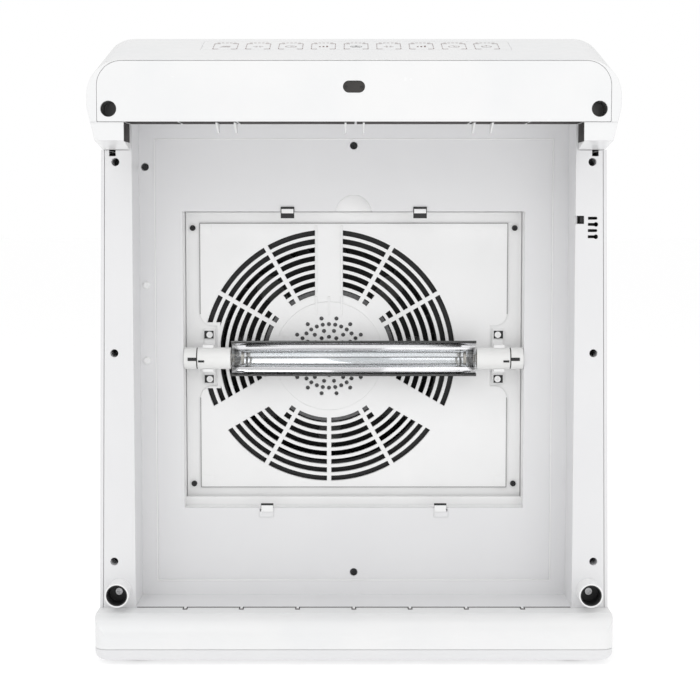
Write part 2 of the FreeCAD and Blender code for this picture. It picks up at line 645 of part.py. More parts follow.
def hook_slots():
    """Slots in the back wall that the tray's snap hooks come through."""
    return [block(f"hook_slot{index}", around(x, wide), past("ledge_face", "ledge_face + frame_wall"),
                  around(z, tall))
            for index, (x, z, wide, tall) in enumerate(hook_spots())]


def plug_spots():
    """Two covered holes in the left flange, as x and z."""
    return [("plug_side - bay_half", z) for z in ("plug_high", "plug_low")]


def plug_holes():
    """The holes in the flange that the plugs close."""
    return [rod(f"plug_hole{index}", "Y", spot, past("flange_face", "ledge_face + frame_wall"),
                "hole_radius - plug_wall")
            for index, spot in enumerate(plug_spots())]


def sensor_heights():
    """The heights of the four slots in front of the air sensor."""
    return [f"sensor_z + {step} * sensor_pitch" for step in (1.5, 0.5, -0.5, -1.5)]


def strip_slots():
    """Windows at the tops of the strips, the interlock notch and the sensor slots on the right."""
    span = past("strip_face", "strip_face + frame_wall")
    cuts = [block(f"strip_window_{name}", around(f"{side} * (half_width - strip_window_x)",
                                                 "strip_window_wide"), span,
                  ("head_low - strip_window_drop", "frame_high + over")) for name, side in SIDES]
    cuts.append(block("interlock_notch", ("bay_half - over", "bay_half + notch_wide"),
                      ("strip_face - over", "strip_face + notch_wide"), around("interlock_z", "notch_tall")))
    near = "bay_half + sensor_side"
    for index, z in enumerate(sensor_heights()):
        far = f"{near} + sensor_slot_long"
        cuts.append(block(f"sensor_slot{index}", (near, far), span, around(z, "sensor_slot_tall")))
        eye = "sensor_eye" if index % 2 else "sensor_slot_tall / 2"
        cuts.append(rod(f"sensor_eye{index}", "Y", (far, z), span, eye))
    return cuts


# ---------------------------------------------------------------- fan tray behind the window
def tray_hook(index, spot):
    """One snap hook: the bar that shows in its slot and the root that ties it to the tray."""
    x, z, wide, tall = spot
    high = "high" in wide
    if high:
        bar = around(z, "hook_bar")
        root = (f"({z}) - hook_bar / 2", "window_high + tray_wall / 2")
    else:
        bar = (f"({z}) - ({tall}) / 2 + hook_lead", f"({z}) + hook_low_head")
        root = (f"({z}) - hook_bar / 2", "window_low")
    rear = "tray_face + hook_root_deep"
    return [block(f"tray_hook{index}", around(x, f"{wide} - 2 * hook_gap"), ("ledge_face - hook_lead", rear),
                  bar),
            block(f"tray_hook_root{index}", around(x, "hook_root_wide"), ("tray_face", rear), root)]


def make_fan_tray():
    """The deep frame that hangs behind the window on its snap hooks and carries the guard."""
    wide = evenly("2 * (window_half + tray_wall)")
    solid = block("tray_box", wide, ("tray_face", "tray_rear"),
                  ("window_low - tray_wall", "window_high + tray_wall"))
    finger_spot = ("0", "finger_z")
    bulge = rod("tray_bulge", "Y", finger_spot, ("tray_face", "tray_rear"), "finger_radius + tray_wall")
    room = block("tray_room", evenly("2 * window_half"), ("tray_face - over", "guard_rear + seam"),
                 ("window_low", "window_high"))
    finger = rod("tray_finger", "Y", finger_spot, ("tray_face - over", "guard_face - finger_end"),
                 "finger_radius")
    opening = block("tray_opening", evenly("2 * (window_half - corner_inset - tray_lip)"),
                    ("guard_rear", "tray_rear + over"),
                    ("window_low + corner_low - tray_lip", "window_high - corner_high + tray_lip_high"))
    pilots = [pilot(f"tray_pilot{index}", "Y", spot, ("guard_rear", "tray_rear + over"))
              for index, spot in enumerate(guard_screw_spots())]
    shell = cut("tray_shell", fuse("tray_solid", [solid, bulge]), [room, finger, opening] + pilots)
    step_face = "guard_face - step_lead"
    step = block("tray_step", evenly("2 * window_half"), (step_face, f"{step_face} + step_deep"),
                 ("window_low - tray_wall / 4", "window_low + step_tall"))
    hooks = [piece for index, spot in enumerate(hook_spots()) for piece in tray_hook(index, spot)]
    keep(fuse("fan_tray", [shell, step] + hooks))


def guard_screw_spots():
    """The guard's corner screws, as x and z."""
    return [(f"{side} * (window_half - corner_inset)", z) for _, side in SIDES
            for z in ("window_low + corner_low", "window_high - corner_high")]


# ---------------------------------------------------------------- fan guard
def make_fan_guard():
    """The plate in front of the wheel: flange, raised face, hub, posts and all its slots."""
    flange = block("guard_flange", evenly("2 * (window_half - guard_gap)"), ("guard_seat", "guard_rear"),
                   ("window_low + guard_gap", "window_high - guard_gap"))
    lap = "guard_wall / 5"
    start = f"-(guard_seat + {lap})"
    thick = f"guard_rise + {lap}"
    pocket = ("holder_low - pocket_low", "holder_high + pocket_high")
    upper = slab("guard_plate_high", "XZ_Plane", ("-guard_half", "guard_half", pocket[1], "guard_high"),
                 ("guard_round",) * 4, start, thick)
    lower = slab("guard_plate_low", "XZ_Plane", ("-guard_half", "guard_half", "guard_low", pocket[0]),
                 ("guard_round",) * 4, start, thick)
    middle = block("guard_plate_middle", evenly("2 * pocket_x"), ("guard_face", f"guard_seat + {lap}"),
                   (f"{pocket[0]} - 2 * guard_round", f"{pocket[1]} + 2 * guard_round"))
    hub = rod("guard_hub", "Y", ("fan_x", "fan_z"), ("guard_face - hub_rise", "guard_face + over"),
              "hub_radius")
    solid = fuse("guard_solid", [flange, upper, lower, middle, hub] + lamp_posts() + channel_ribs())
    span = past("guard_seat", "guard_rear")
    spots = guard_screw_spots() + holder_screw_spots()
    holes = [pilot(f"guard_pilot{index}", "Y", spot, span) for index, spot in enumerate(spots)]
    holes += [pilot(f"guard_motor_hole{index}", "Y", spot, ("guard_face + over", "guard_rear + over"))
              for index, spot in enumerate(motor_screw_spots())]
    keep(cut("fan_guard", solid, [guard_slots()] + hub_vents() + holes))


def lamp_posts():
    """Two posts that carry the reflector."""
    rear_of_trough = "lamp_line - trough_shift + trough_radius + trough_sheet + seam"
    return [block(f"guard_post_{name}", around(f"{side} * post_x", "post_side"),
                  (rear_of_trough, "guard_face + over"),
                  around("lamp_z", "post_side")) for name, side in SIDES]


def channel_ribs():
    """Low ribs of the wire channel that runs up from the hub."""
    hub_top = "fan_z + rib_low"
    stretches = ((-1, hub_top, "fan_z + rib_middle"), (0, hub_top, "fan_z + rib_middle"),
                 (1, hub_top, "fan_z + rib_middle"),
                 (-1, "fan_z + rib_middle + rib_break", "fan_z + rib_high_end"),
                 (1, "fan_z + rib_middle + rib_break", "fan_z + rib_high_end"))
    return [block(f"guard_rib{index}", around(f"fan_x + {side} * rib_side", "rib_wide"),
                  ("guard_face - rib_high", "guard_face + over"), (low, high))
            for index, (side, low, high) in enumerate(stretches)]


def guard_bar(angle, wide, span):
    """A bar from the fan's centre outward at an angle, where the plate stays whole."""
    bar = doc.addObject("Part::Box", f"guard_bar{angle}")
    bar.setExpression("Length", bound("slot_first + (slot_count + 1) * slot_pitch"))
    bar.setExpression("Width", bound(wide))
    bar.setExpression("Height", bound(f"({span[1]}) - ({span[0]}) + 2 * over"))
    along = FreeCAD.Rotation(Vector(1, 0, 0), 90)
    bar.Placement = FreeCAD.Placement(Vector(), FreeCAD.Rotation(Vector(0, -1, 0), angle).multiply(along))
    bar.setExpression("Placement.Base.x", bound(f"fan_x + {wide} / 2 * sin({angle} deg)"))
    bar.setExpression("Placement.Base.z", bound(f"fan_z - {wide} / 2 * cos({angle} deg)"))
    bar.setExpression("Placement.Base.y", bound(f"({span[1]}) + over"))
    return bar


def guard_slots():
    """Rings of air slots, broken by twelve spokes, three of them wide bands, and by the four lobes."""
    centre = ("fan_x", "fan_z")
    span = ("guard_face - 3 * over", "guard_rear + over")
    rings = []
    for index in range(count_of("slot_count")):
        inner = f"slot_first + {index} * slot_pitch"
        rings.append(ring(f"slot_ring{index}", "Y", centre, span, f"{inner} + slot_wide", inner))
    bars = [guard_bar(angle, "band_wide" if angle % 120 == 90 else "spoke_wide", span)
            for angle in range(0, 360, 30)]
    for angle in range(37, 360, 90):
        lobe = rod(f"guard_lobe{angle}", "Y", centre, past(*span), "lobe_reach", sweep="lobe_sweep",
                   start_angle=-angle - number("lobe_sweep"))
        bars.append(lobe)
    bars.append(block("guard_lamp_bar", ("-2 * window_half", "lamp_bar_lap - pocket_x"), past(*span),
                      ("holder_low - pocket_low - 2 * over", "holder_high + 2 * pocket_high")))
    return cut("guard_slots", fuse("slot_rings", rings), bars)


def hub_vents():
    """Rings of small holes over the motor."""
    holes = []
    for ring_index, count in enumerate((6, 8, 16, 16, 32, 16)):
        circle = f"(vent_first + {ring_index} * vent_pitch)"
        for index in range(count):
            angle = 360 / count * (index + (ring_index % 2) / 2)
            spot = (f"fan_x + {circle} * cos({angle} deg)", f"fan_z + {circle} * sin({angle} deg)")
            holes.append(rod(f"vent{ring_index}_{index}", "Y", spot,
                             ("guard_face - 3 * over", "guard_rear + over"),
                             "vent_radius"))
    return holes


# ---------------------------------------------------------------- lamp
def holder_screw_spots():
    """Screws of the lamp holders, as x and z."""
    return [(f"{side} * (holder_in + holder_out) / 2", f"lamp_z + {end} * holder_screw_reach")
            for _, side in SIDES for _, end in SIDES]


def make_lamp():
    """The tube with its end caps, pins and filaments, and what holds it."""
    axis = ("lamp_line", "lamp_z")
    keep(ring("lamp_glass", "X", axis, evenly("2 * glass_end"), "lamp_radius", "lamp_radius - glass_wall"))
    caps = []
    pins = []
    for name, side in SIDES:
        caps.append(rod(f"lamp_cap_{name}", "X", axis, mirrored(side, "glass_end", "lamp_face / 2"),
                        "lamp_radius"))
        for lift in (-1, 1):
            pins.append(rod(f"lamp_pin_{name}{lift > 0}", "X",
                            ("lamp_line", f"lamp_z + {lift} * lamp_pin_half"),
                            mirrored(side, "lamp_face / 2", "lamp_face / 2 + lamp_pin_long"),
                            "lamp_pin_radius"))
    keep(group("lamp_caps", caps))
    keep(group("lamp_pins", pins))
    keep(fuse("lamp_filaments", [piece for name, side in SIDES for piece in filament(name, side)]))
    for name, side in SIDES:
        make_lamp_end(name, side, axis)
    make_reflector()


def filament(name, side):
    """Two lead wires and the coil across them at one end of the tube."""
    inner = "glass_end - lead_long"
    leads = [rod(f"lamp_lead_{name}{lift > 0}", "X", ("lamp_line", f"lamp_z + {lift} * lead_half"),
                 mirrored(side, inner, "glass_end"), "lead_radius") for lift in (-1, 1)]
    return leads + [rod(f"lamp_coil_{name}", "Z", (f"{side} * ({inner})", "lamp_line"),
                        around("lamp_z", "2 * coil_half"),
                        "coil_radius")]


def make_lamp_end(name, side, axis):
    """The sleeve, the boot and the holder at one end of the tube."""
    bore = "lamp_radius + seam"
    keep(ring(f"lamp_sleeve_{name}", "X", axis, mirrored(side, "sleeve_start", "sleeve_end"), "sleeve_radius",
              bore))
    boot = rod(f"boot_solid_{name}", "X", axis, mirrored(side, "boot_start", "boot_end"), "sleeve_radius")
    pocket_end = "lamp_face / 2 + lamp_pin_long + boot_end_room"
    keep(cut(f"lamp_boot_{name}", boot, [rod(f"boot_hollow_{name}", "X", axis,
                                             mirrored(side, "0", pocket_end), bore)]))
    span = mirrored(side, "holder_in", "holder_out")
    plate_face = "guard_seat - holder_wall"
    foot = block(f"holder_foot_{name}", span, (plate_face, "guard_seat"), ("holder_low", "holder_high"))
    clamp = rod(f"holder_clamp_{name}", "X", axis, span, "sleeve_radius + seam + holder_wall")
    web = block(f"holder_web_{name}", span, ("lamp_line", "guard_seat - over"),
                around("lamp_z", "2 * holder_web"))
    room = rod(f"holder_room_{name}", "X", axis, mirrored(side, "0", "boot_end"), "sleeve_radius + seam / 2")
    mouth = block(f"holder_mouth_{name}", span,
                  ("lamp_line - 2 * sleeve_radius", "lamp_line - sleeve_radius / 3"),
                  around("lamp_z", "4 * sleeve_radius"))
    holes = [pilot(f"holder_hole_{name}{end > 0}", "Y", (f"{side} * (holder_in + holder_out) / 2",
                                                        f"lamp_z + {end} * holder_screw_reach"),
                   past(plate_face, "guard_seat")) for _, end in SIDES]
    keep(cut(f"lamp_holder_{name}", fuse(f"holder_solid_{name}", [foot, clamp, web]), [room, mouth] + holes))


def make_reflector():
    """A bright trough of thin sheet behind the tube, open to the front."""
    axis = ("lamp_line - trough_shift", "lamp_z")
    reach = "trough_radius + trough_sheet"
    shell = ring("trough_pipe", "X", axis, evenly("2 * trough_half"), reach, "trough_radius")
    front = block("trough_open", evenly("total_width"), (f"{axis[0]} - 2 * ({reach})", axis[0]),
                  around("lamp_z", f"4 * ({reach})"))
    keep(cut("lamp_reflector", shell, [front]))


# ---------------------------------------------------------------- motor and impeller
def motor_screw_spots():
    """The motor's flange screws, as x and z."""
    circle = "(motor_radius + motor_screw_out)"
    return [(f"fan_x + {circle} * cos({angle} deg)", f"fan_z + {circle} * sin({angle} deg)")
            for angle in range(45, 360, 90)]


def make_motor():
    """The motor behind the guard's hub: can, cap, bearings, stator, rotor, shaft and screws."""
    centre = ("fan_x", "fan_z")
    lip = "motor_face + motor_lip"
    flange = rod("motor_flange_disc", "Y", centre, ("motor_face", lip), "motor_radius + motor_flange")
    can = rod("motor_can_solid", "Y", centre, ("motor_face", "motor_rear"), "motor_radius")
    room = rod("motor_can_room", "Y", centre, ("motor_inside", "motor_rear + over"),
               "motor_radius - motor_wall")
    seat = rod("motor_can_seat", "Y", centre, (lip, "motor_rear"), "bearing_radius + seam")
    holes = [pilot(f"motor_hole{index}", "Y", spot, past("motor_face", lip))
             for index, spot in enumerate(motor_screw_spots())]
    keep(cut("motor_can", fuse("motor_can_body", [flange, can]), [room, seat] + holes))
    cap_face = "(motor_rear + seam)"
    cup_rear = f"{cap_face} + bearing_long"
    cap = rod("motor_cap_disc", "Y", centre, (cap_face, f"{cap_face} + motor_cap_wall"), "motor_radius")
    cup = rod("motor_cap_cup", "Y", centre, (cap_face, f"{cup_rear} + motor_cap_wall"),
              "bearing_radius + bearing_cup_wall")
    cup_room = rod("motor_cap_room", "Y", centre, (f"{cap_face} - over", cup_rear), "bearing_radius + seam")
    cup_bore = rod("motor_cap_bore", "Y", centre, (f"{cap_face} - over",
                                                   f"{cup_rear} + motor_cap_wall + over"),
                   "shaft_radius + over")
    keep(cut("motor_cap", fuse("motor_cap_body", [cap, cup]), [cup_room, cup_bore]))
    keep(group("motor_bearings", [ring(f"bearing{index}", "Y", centre,
                                       (start, f"{start} + bearing_long - seam"),
                                       "bearing_radius", "shaft_radius + fit_gap")
                                  for index, start in enumerate((f"{lip} + seam", cap_face))]))
    stack = ("motor_inside + stator_end", "motor_rear - stator_end")
    keep(ring("motor_stator", "Y", centre, stack, "stator_radius", "stator_radius - stator_wall"))
    keep(ring("motor_rotor", "Y", centre, stack, "rotor_radius", "shaft_radius + fit_gap"))
    keep(rod("motor_shaft", "Y", centre, (f"{lip} + 2 * seam", "scroll_rear - over"), "shaft_radius"))
    keep(group("motor_screws", [screw(f"motor_screw{index}", (x, lip, z), "+Y",
                                      long="motor_lip + seam + guard_wall - seam")
                                for index, (x, z) in enumerate(motor_screw_spots())]))


def make_wheel_disc():
    """The wheel's back disc with its ring of petal windows."""
    body = doc.addObject("PartDesign::Body", "wheel_disc")
    sketch = sketch_in(body, "XZ_Plane", "-wheel_rear")
    sketch.addGeometry(Part.Circle(Vector(), Vector(0, 0, 1), number("impeller_radius")))
    sketch.addConstraint(Sketcher.Constraint("Coincident", 0, 3, -1, 1))
    hold_radius(sketch, 0, "impeller_radius")
    add_feature(body, "Pad", sketch, Length="wheel_sheet")
    doc.recompute()
    window = sketch_in(body, "XZ_Plane", "-(wheel_rear + over)")
    draw_petal(window)
    whole = body.Shape.Volume
    pocket = add_feature(body, "Pocket", window, Length="wheel_sheet + 2 * over", Reversed=True)
    doc.recompute()
    if body.Shape.Volume >= whole:
        raise RuntimeError("the petal window cuts nothing")
    pattern = body.newObject("PartDesign::PolarPattern", "petals")
    pattern.Originals = [pocket]
    pattern.Axis = (window, ["N_Axis"])
    pattern.setExpression("Occurrences", bound("petal_count"))
    body.Tip = pattern
    for place, spot in (("x", "fan_x"), ("z", "fan_z")):
        body.setExpression(f"Placement.Base.{place}", bound(spot))
    return body


def make_impeller():
    """A squirrel-cage wheel: a back disc with petal windows, curved blades and a front ring."""
    centre = ("fan_x", "fan_z")
    hub = rod("wheel_hub", "Y", centre, ("wheel_rear - wheel_hub_long", "wheel_rear + wheel_hub_rear"),
              "wheel_hub_radius")
    rim = ring("wheel_rim", "Y", centre, ("wheel_face", "wheel_face + rim_deep"), "impeller_radius",
               "impeller_radius - rim_wide")
    bore = rod("wheel_bore", "Y", centre, past("wheel_rear - wheel_hub_long", "wheel_rear + wheel_hub_rear"),
               "shaft_radius + fit_gap")
    keep(cut("impeller", fuse("wheel_solid", [make_wheel_disc(), hub, rim, make_blades()]), [bore]))
    nut = doc.addObject("Part::Prism", "nut_hex")
    nut.Polygon = 6
    nut.setExpression("Circumradius", bound("shaft_radius + nut_side"))
    nut.setExpression("Height", bound("nut_deep"))
    nut.Placement = FreeCAD.Placement(Vector(), FreeCAD.Rotation(Vector(1, 0, 0), -90))
    seat = "wheel_rear + wheel_hub_rear + seam"
    for place, spot in (("x", "fan_x"), ("z", "fan_z"), ("y", seat)):
        nut.setExpression(f"Placement.Base.{place}", bound(spot))
    nut_bore = rod("nut_bore", "Y", centre, past(seat, f"{seat} + nut_deep"), "shaft_radius + fit_gap")
    keep(cut("impeller_nut", nut, [nut_bore]))


def draw_petal(sketch):
    """One petal window: two circles joined by the lines that touch both."""
    inner, outer = number("petal_in"), number("petal_out")
    small, large = number("petal_in_radius"), number("petal_out_radius")
    lean = (large - small) / (outer - inner)
    rise = (1 - lean * lean) ** 0.5
    tips = [Vector(outer - large * lean, large * rise, 0), Vector(inner - small * lean, small * rise, 0),
            Vector(inner - small * lean, -small * rise, 0), Vector(outer - large * lean, -large * rise, 0)]
    sketch.addGeometry(Part.Arc(tips[3], Vector(outer + large, 0, 0), tips[0]))
    sketch.addGeometry(Part.LineSegment(tips[0], tips[1]))
    sketch.addGeometry(Part.Arc(tips[1], Vector(inner - small, 0, 0), tips[2]))
    sketch.addGeometry(Part.LineSegment(tips[2], tips[3]))
    for first, first_end, second, second_end in ((0, 2, 1, 1), (1, 2, 2, 1), (2, 2, 3, 1), (3, 2, 0, 1)):
        sketch.addConstraint(Sketcher.Constraint("Tangent", first, first_end, second, second_end))
    for geometry, radius, place in ((0, "petal_out_radius", "petal_out"), (2, "petal_in_radius", "petal_in")):
        hold_radius(sketch, geometry, radius)
        sketch.addConstraint(Sketcher.Constraint("PointOnObject", geometry, 3, -1))
        hold(sketch, "DistanceX", geometry, 3, place)


def make_blades():
    """Forward-curved blades, each a bent strip, between the back disc and the front ring."""
    feature = doc.addObject("Part::Feature", "blades")
    outer = number("impeller_radius - blade_inset")
    inner = number("impeller_radius - blade_inset - blade_deep")
    wall = number("blade_wall")
    bulge = number("blade_bulge")
    middle = (inner + outer) / 2
    edges = [Part.Arc(Vector(inner, 0, 0), Vector(middle, 0, bulge), Vector(outer, 0, 0)).toShape(),
             Part.LineSegment(Vector(outer, 0, 0), Vector(outer, 0, -wall)).toShape(),
             Part.Arc(Vector(outer, 0, -wall), Vector(middle, 0, bulge - wall),
                      Vector(inner, 0, -wall)).toShape(),
             Part.LineSegment(Vector(inner, 0, -wall), Vector(inner, 0, 0)).toShape()]
    start = number("wheel_face + over")
    depth = number("wheel_rear - wheel_sheet / 2") - start
    blade = Part.Face(Part.Wire(edges)).extrude(Vector(0, depth, 0))
    count = count_of("blade_count")
    copies = []
    for index in range(count):
        copy = blade.copy()
        copy.rotate(Vector(), Vector(0, 1, 0), 360 / count * index)
        copies.append(copy)
    feature.Shape = Part.makeCompound(copies)
    feature.Placement = FreeCAD.Placement(Vector(number("fan_x"), start, number("fan_z")), FreeCAD.Rotation())
    return feature


# ---------------------------------------------------------------- scroll housing and duct
def scroll_solid(name, wall, ends, top):
    """The scroll's outline in quarter turns of growing radius, and the throat that rises from it."""
    centres = (("scroll_left", "fan_z - scroll_shift"), ("fan_x + scroll_shift", "fan_z - scroll_shift"),
               ("fan_x + scroll_shift", "fan_z + scroll_shift"))
    parts = []
    for index, centre in enumerate(centres):
        radius = f"scroll_radius + {index} * scroll_grow + {wall}"
        parts.append(rod(f"{name}_turn{index}", "Y", centre, ends, radius, sweep="90",
                         start_angle=180 - 90 * index))
    parts.append(block(f"{name}_throat", (f"scroll_left - {wall}", f"scroll_right + {wall}"), ends,
                       ("fan_z + scroll_shift", top)))
    parts.append(block(f"{name}_middle", ("scroll_left", "fan_x + scroll_shift"), ends,
                       ("fan_z - scroll_shift", "fan_z + scroll_shift")))
    return fuse(name, parts)


def make_scroll_housing():
    """A front plate with the round inlet, and the spiral shell behind it."""
    inner_face = "scroll_face + scroll_wall"
    plate = scroll_solid("scroll_plate", "scroll_wall", ("scroll_face", inner_face), "throat_top")
    inlet = rod("scroll_inlet_hole", "Y", ("fan_x", "fan_z"), past("scroll_face", inner_face),
                "impeller_radius + inlet_gap")
    keep(cut("scroll_front", plate, [inlet]))
    outer = scroll_solid("scroll_outer", "scroll_wall", (f"{inner_face} + seam", "scroll_rear + scroll_wall"),
                         "throat_top")
    inner = scroll_solid("scroll_inner", "0", ("scroll_face", "scroll_rear"), "throat_top + over")
    keep(cut("scroll_housing", outer, [inner]))


def duct_solid(name, inset, low, high):
    """A flared passage from the throat up to the outlet."""
    throat = (f"scroll_left + {inset}", f"scroll_right - ({inset})", f"scroll_face + scroll_wall + {inset}",
              f"scroll_rear - ({inset})")
    half = f"(outlet_width / 2 - duct_side - ({inset}))"
    outlet = (f"-{half}", half, f"outlet_front + duct_end + {inset}", f"outlet_rear - duct_end - ({inset})")
    return loft(name, low, throat, high, outlet, ("duct_round",) * 4)


def make_outlet_duct():
    """The duct that widens from the scroll's throat to the outlet."""
    low = "throat_top + seam"
    high = "total_height - grille_tall - seam"
    outer = duct_solid("duct_outer", "(-scroll_wall)", low, high)
    keep(cut("outlet_duct", outer, [duct_solid("duct_inner", "0", f"{low} - over / 100",
                                               f"{high} + over / 100")]))


# ---------------------------------------------------------------- rear shell
def shell_loft(name, inset, low, high, front):
    """The tapered body as a loft between its foot and its top."""
    sides = []
    for height in (low, high):
        edge = body_edge(height, inset)
        sides.append((f"-{edge}", edge, front, f"rear_face - ({inset})"))
    radii = ("shell_front_round",) * 2 + (f"back_round - ({inset})",) * 2
    return loft(name, low, sides[0], high, sides[1], radii)


def make_rear_shell():
    """The tapered back and sides, with posts inside for the screws and the board."""
    outer = shell_loft("shell_outer", "0", "frame_low", "frame_high", "strip_face")
    inner = shell_loft("shell_inner", "shell_wall", *past("frame_low", "frame_high"),
                       "strip_face - 3 * shell_wall")
    skin = cut("shell_skin", outer, [inner])
    posts = board_posts()
    bores = []
    for index, spot in enumerate(strip_screw_spots()):
        posts.append(rod(f"shell_post{index}", "Y", spot, ("boss_rear + seam", "rear_face - shell_wall / 2"),
                         "post_radius"))
        bores.append(pilot(f"shell_bore{index}", "Y", spot,
                           ("boss_rear + seam - over", "boss_rear + seam + shell_pilot")))
    for index, spot in enumerate(base_screw_spots()):
        posts.append(rod(f"shell_foot{index}", "Z", spot, ("frame_low", "frame_low + base_post_long"),
                         "post_radius"))
        bores.append(pilot(f"shell_foot_bore{index}", "Z", spot,
                           ("frame_low - over", "frame_low + base_post_long - shell_wall")))
    outside = shell_loft("shell_limit", "over / 100", "frame_low", "frame_high", "strip_face")
    posts_in = common("shell_posts", fuse("shell_post_set", posts), outside)
    panel = slab("shell_panel", "XZ_Plane", (*evenly("label_panel_wide"), "label_panel_low",
                                             "label_panel_high"),
                 ("label_panel_round",) * 4, "-(rear_face + over)", "label_panel_deep + over")
    inlet = block("shell_inlet_hole", ("inlet_left", "inlet_right"),
                  ("rear_face - 3 * shell_wall", "rear_face + over"),
                  ("inlet_low", "inlet_high"))
    reach = "inlet_rim + seam"
    seat = block("shell_inlet_seat", (f"inlet_left - ({reach})", f"inlet_right + {reach}"),
                 ("rear_face - inlet_rim_deep - seam", "rear_face + over"),
                 (f"inlet_low - ({reach})", f"inlet_high + {reach}"))
    keep(cut("rear_shell", fuse("shell_solid", [skin, posts_in]), [panel, inlet, seat] + bores))


def board_spots():
    """The main board's standoffs on the left side wall, as y and z."""
    return [(y, z) for y in ("board_front + board_post_inset", "board_rear - board_post_inset")
            for z in ("board_low + board_post_rise", "board_high - board_post_rise")]


def board_posts():
    """Standoffs from the left wall to the main board."""
    return [rod(f"board_post{index}", "X", (y, z), (f"-{body_edge(z, 'shell_wall / 3')}", "board_line"),
                "board_post_radius")
            for index, (y, z) in enumerate(board_spots())]


# ---------------------------------------------------------------- head
def head_block(name, inset, below="0"):
    """The head's outside with its sloping control face, or the room inside it, run on a little below."""
    body = doc.addObject("PartDesign::Body", name)
    sketch = sketch_in(body, "XZ_Plane", f"-(rear_face - ({inset}))")
    foot = f"(half_width - head_flare - ({inset}))"
    side = f"(half_width - ({inset}))"
    top = f"(total_height - ({inset}))"
    right = [(foot, "head_low"), (side, "flare_top"), (side, top)]
    if below != "0":
        right.insert(0, (foot, f"head_low - {below}"))
    outline(sketch, right + [(f"-{x}", z) for x, z in reversed(right)])
    add_feature(body, "Pad", sketch, Length=f"total_depth - 2 * ({inset})")
    wedge = sketch_in(body, "YZ_Plane", f"{side} + over")
    drop = f"({inset}) * sqrt(1 + head_slope * head_slope)"
    near, far = "front_face - head_round", "ridge_line + head_round"
    outline(wedge, [(near, f"head_front_top - head_round * head_slope - {drop}"),
                    (far, f"total_height + head_round * head_slope - {drop}"),
                    (far, "total_height + 2 * head_round"), (near, "total_height + 2 * head_round")])
    doc.recompute()
    pocket = add_feature(body, "Pocket", wedge, Length=f"2 * ({side} + over)")
    doc.recompute()
    round_head(body, pocket, inset)
    return body


def round_head(body, pocket, inset):
    """Round the back corners, then the long top edges, by the radii of the head."""
    touch = number("over / 100")
    side = number(f"half_width - ({inset})")
    rear = number(f"rear_face - ({inset})")
    top = number(f"total_height - ({inset})")
    corner = body.newObject("PartDesign::Fillet", body.Name + "_corners")
    rising = [f"Edge{index}" for index, edge in enumerate(pocket.Shape.Edges, 1)
              if edge.BoundBox.YMin > rear - touch and edge.BoundBox.ZLength > number("head_wall * 2")]
    corner.Base = (pocket, rising)
    corner.setExpression("Radius", bound(f"back_round - ({inset})"))
    body.Tip = corner
    doc.recompute()
    chain = []
    for index, edge in enumerate(corner.Shape.Edges, 1):
        box = edge.BoundBox
        on_side = abs(abs(box.XMin) - side) < touch and box.XLength < touch
        on_slope = on_side and box.YLength > touch and box.ZLength > touch
        is_ridge = box.YLength < touch and box.YMax < rear - touch
        if on_slope or (box.ZMin > top - touch and not is_ridge):
            chain.append(f"Edge{index}")
    fillet = body.newObject("PartDesign::Fillet", body.Name + "_round")
    fillet.Base = (corner, chain)
    fillet.setExpression("Radius", bound(f"head_round - ({inset})"))
    body.Tip = fillet


def make_head_shell():
    """The head's skin with its two front legs, and the openings for the fascia, the panel and the outlet."""
    below = "head_low - 3 * head_wall"
    skin = cut("head_skin", head_block("head_outer", "0"),
               [head_block("head_inner", "head_wall", "3 * head_wall")])
    legs = []
    rooms = []
    for name, side in SIDES:
        legs.append(block(f"leg_zone_{name}", mirrored(side, "leg_half", "total_width"),
                          ("front_face", "strip_face - seam"), ("head_low", "fascia_low + head_wall")))
        rooms.append(block(f"leg_room_{name}",
                           mirrored(side, "leg_half + head_wall", "half_width - head_flare - leg_side_wall"),
                           ("front_face + leg_step + head_wall", "strip_face - head_wall"),
                           ("head_low + leg_room_rise", "fascia_low + head_wall + over")))
    leg_solid = common("leg_solids", fuse("leg_zones", legs), head_block("head_limit", "0"))
    wide = ("-total_width", "total_width")
    slope = prism("leg_slope", "YZ_Plane", [("front_face - over", "head_low + leg_front_lift"),
                                            ("strip_face", "head_low"),
                                            ("strip_face", below), ("front_face - over", below)], wide[0],
                  "2 * total_width")
    face_step = block("leg_face", wide, ("front_face - over", "front_face + leg_step"),
                      (below, "fascia_low - seam"))
    under = block("head_under", evenly("2 * leg_half"), ("front_face - over", "strip_face + head_wall"),
                  (below, "fascia_low + head_wall + 2 * over"))
    window = fascia_plate("head_window", "seam", "front_face + fascia_wall + 2 * over",
                          "fascia_wall + 6 * over")
    outlet = block("head_outlet", evenly("outlet_width"), ("outlet_front", "outlet_rear"),
                   ("total_height - 2 * grille_tall", "total_height + over"))
    seat = sloped_plate("overlay_seat", "panel_gap", "panel_wall", "2 * over")
    keep(cut("head_shell", fuse("head_solid", [skin, leg_solid]),
             [slope, face_step, under, window, outlet, seat] + rooms))


def fascia_plate(name, grow, rear, deep):
    """The fascia's face outline, from a plane behind it forward."""
    sides = (f"-fascia_half - ({grow})", f"fascia_half + {grow}", f"fascia_low - ({grow})",
             f"fascia_high + {grow}")
    radii = ("fascia_foot_round",) * 2 + (f"fascia_round + {grow}",) * 2
    return slab(name, "XZ_Plane", sides, radii, f"-({rear})", deep)


def place_on_slope(piece, across, setback, sink):
    """Lay a piece on the sloping control face: across, how far up the slope, and how deep."""
    tilt = "atan(head_slope)"
    piece.Placement = FreeCAD.Placement(Vector(), FreeCAD.Rotation(Vector(1, 0, 0), 1))
    piece.setExpression("Placement.Rotation.Angle", bound(tilt))
    piece.setExpression("Placement.Base.x", bound(across))
    piece.setExpression("Placement.Base.y", bound(f"front_face + ({setback}) + ({sink}) * sin({tilt})"))
    piece.setExpression("Placement.Base.z",
                        bound(f"head_front_top + ({setback}) * head_slope - ({sink}) * cos({tilt})"))
    return piece


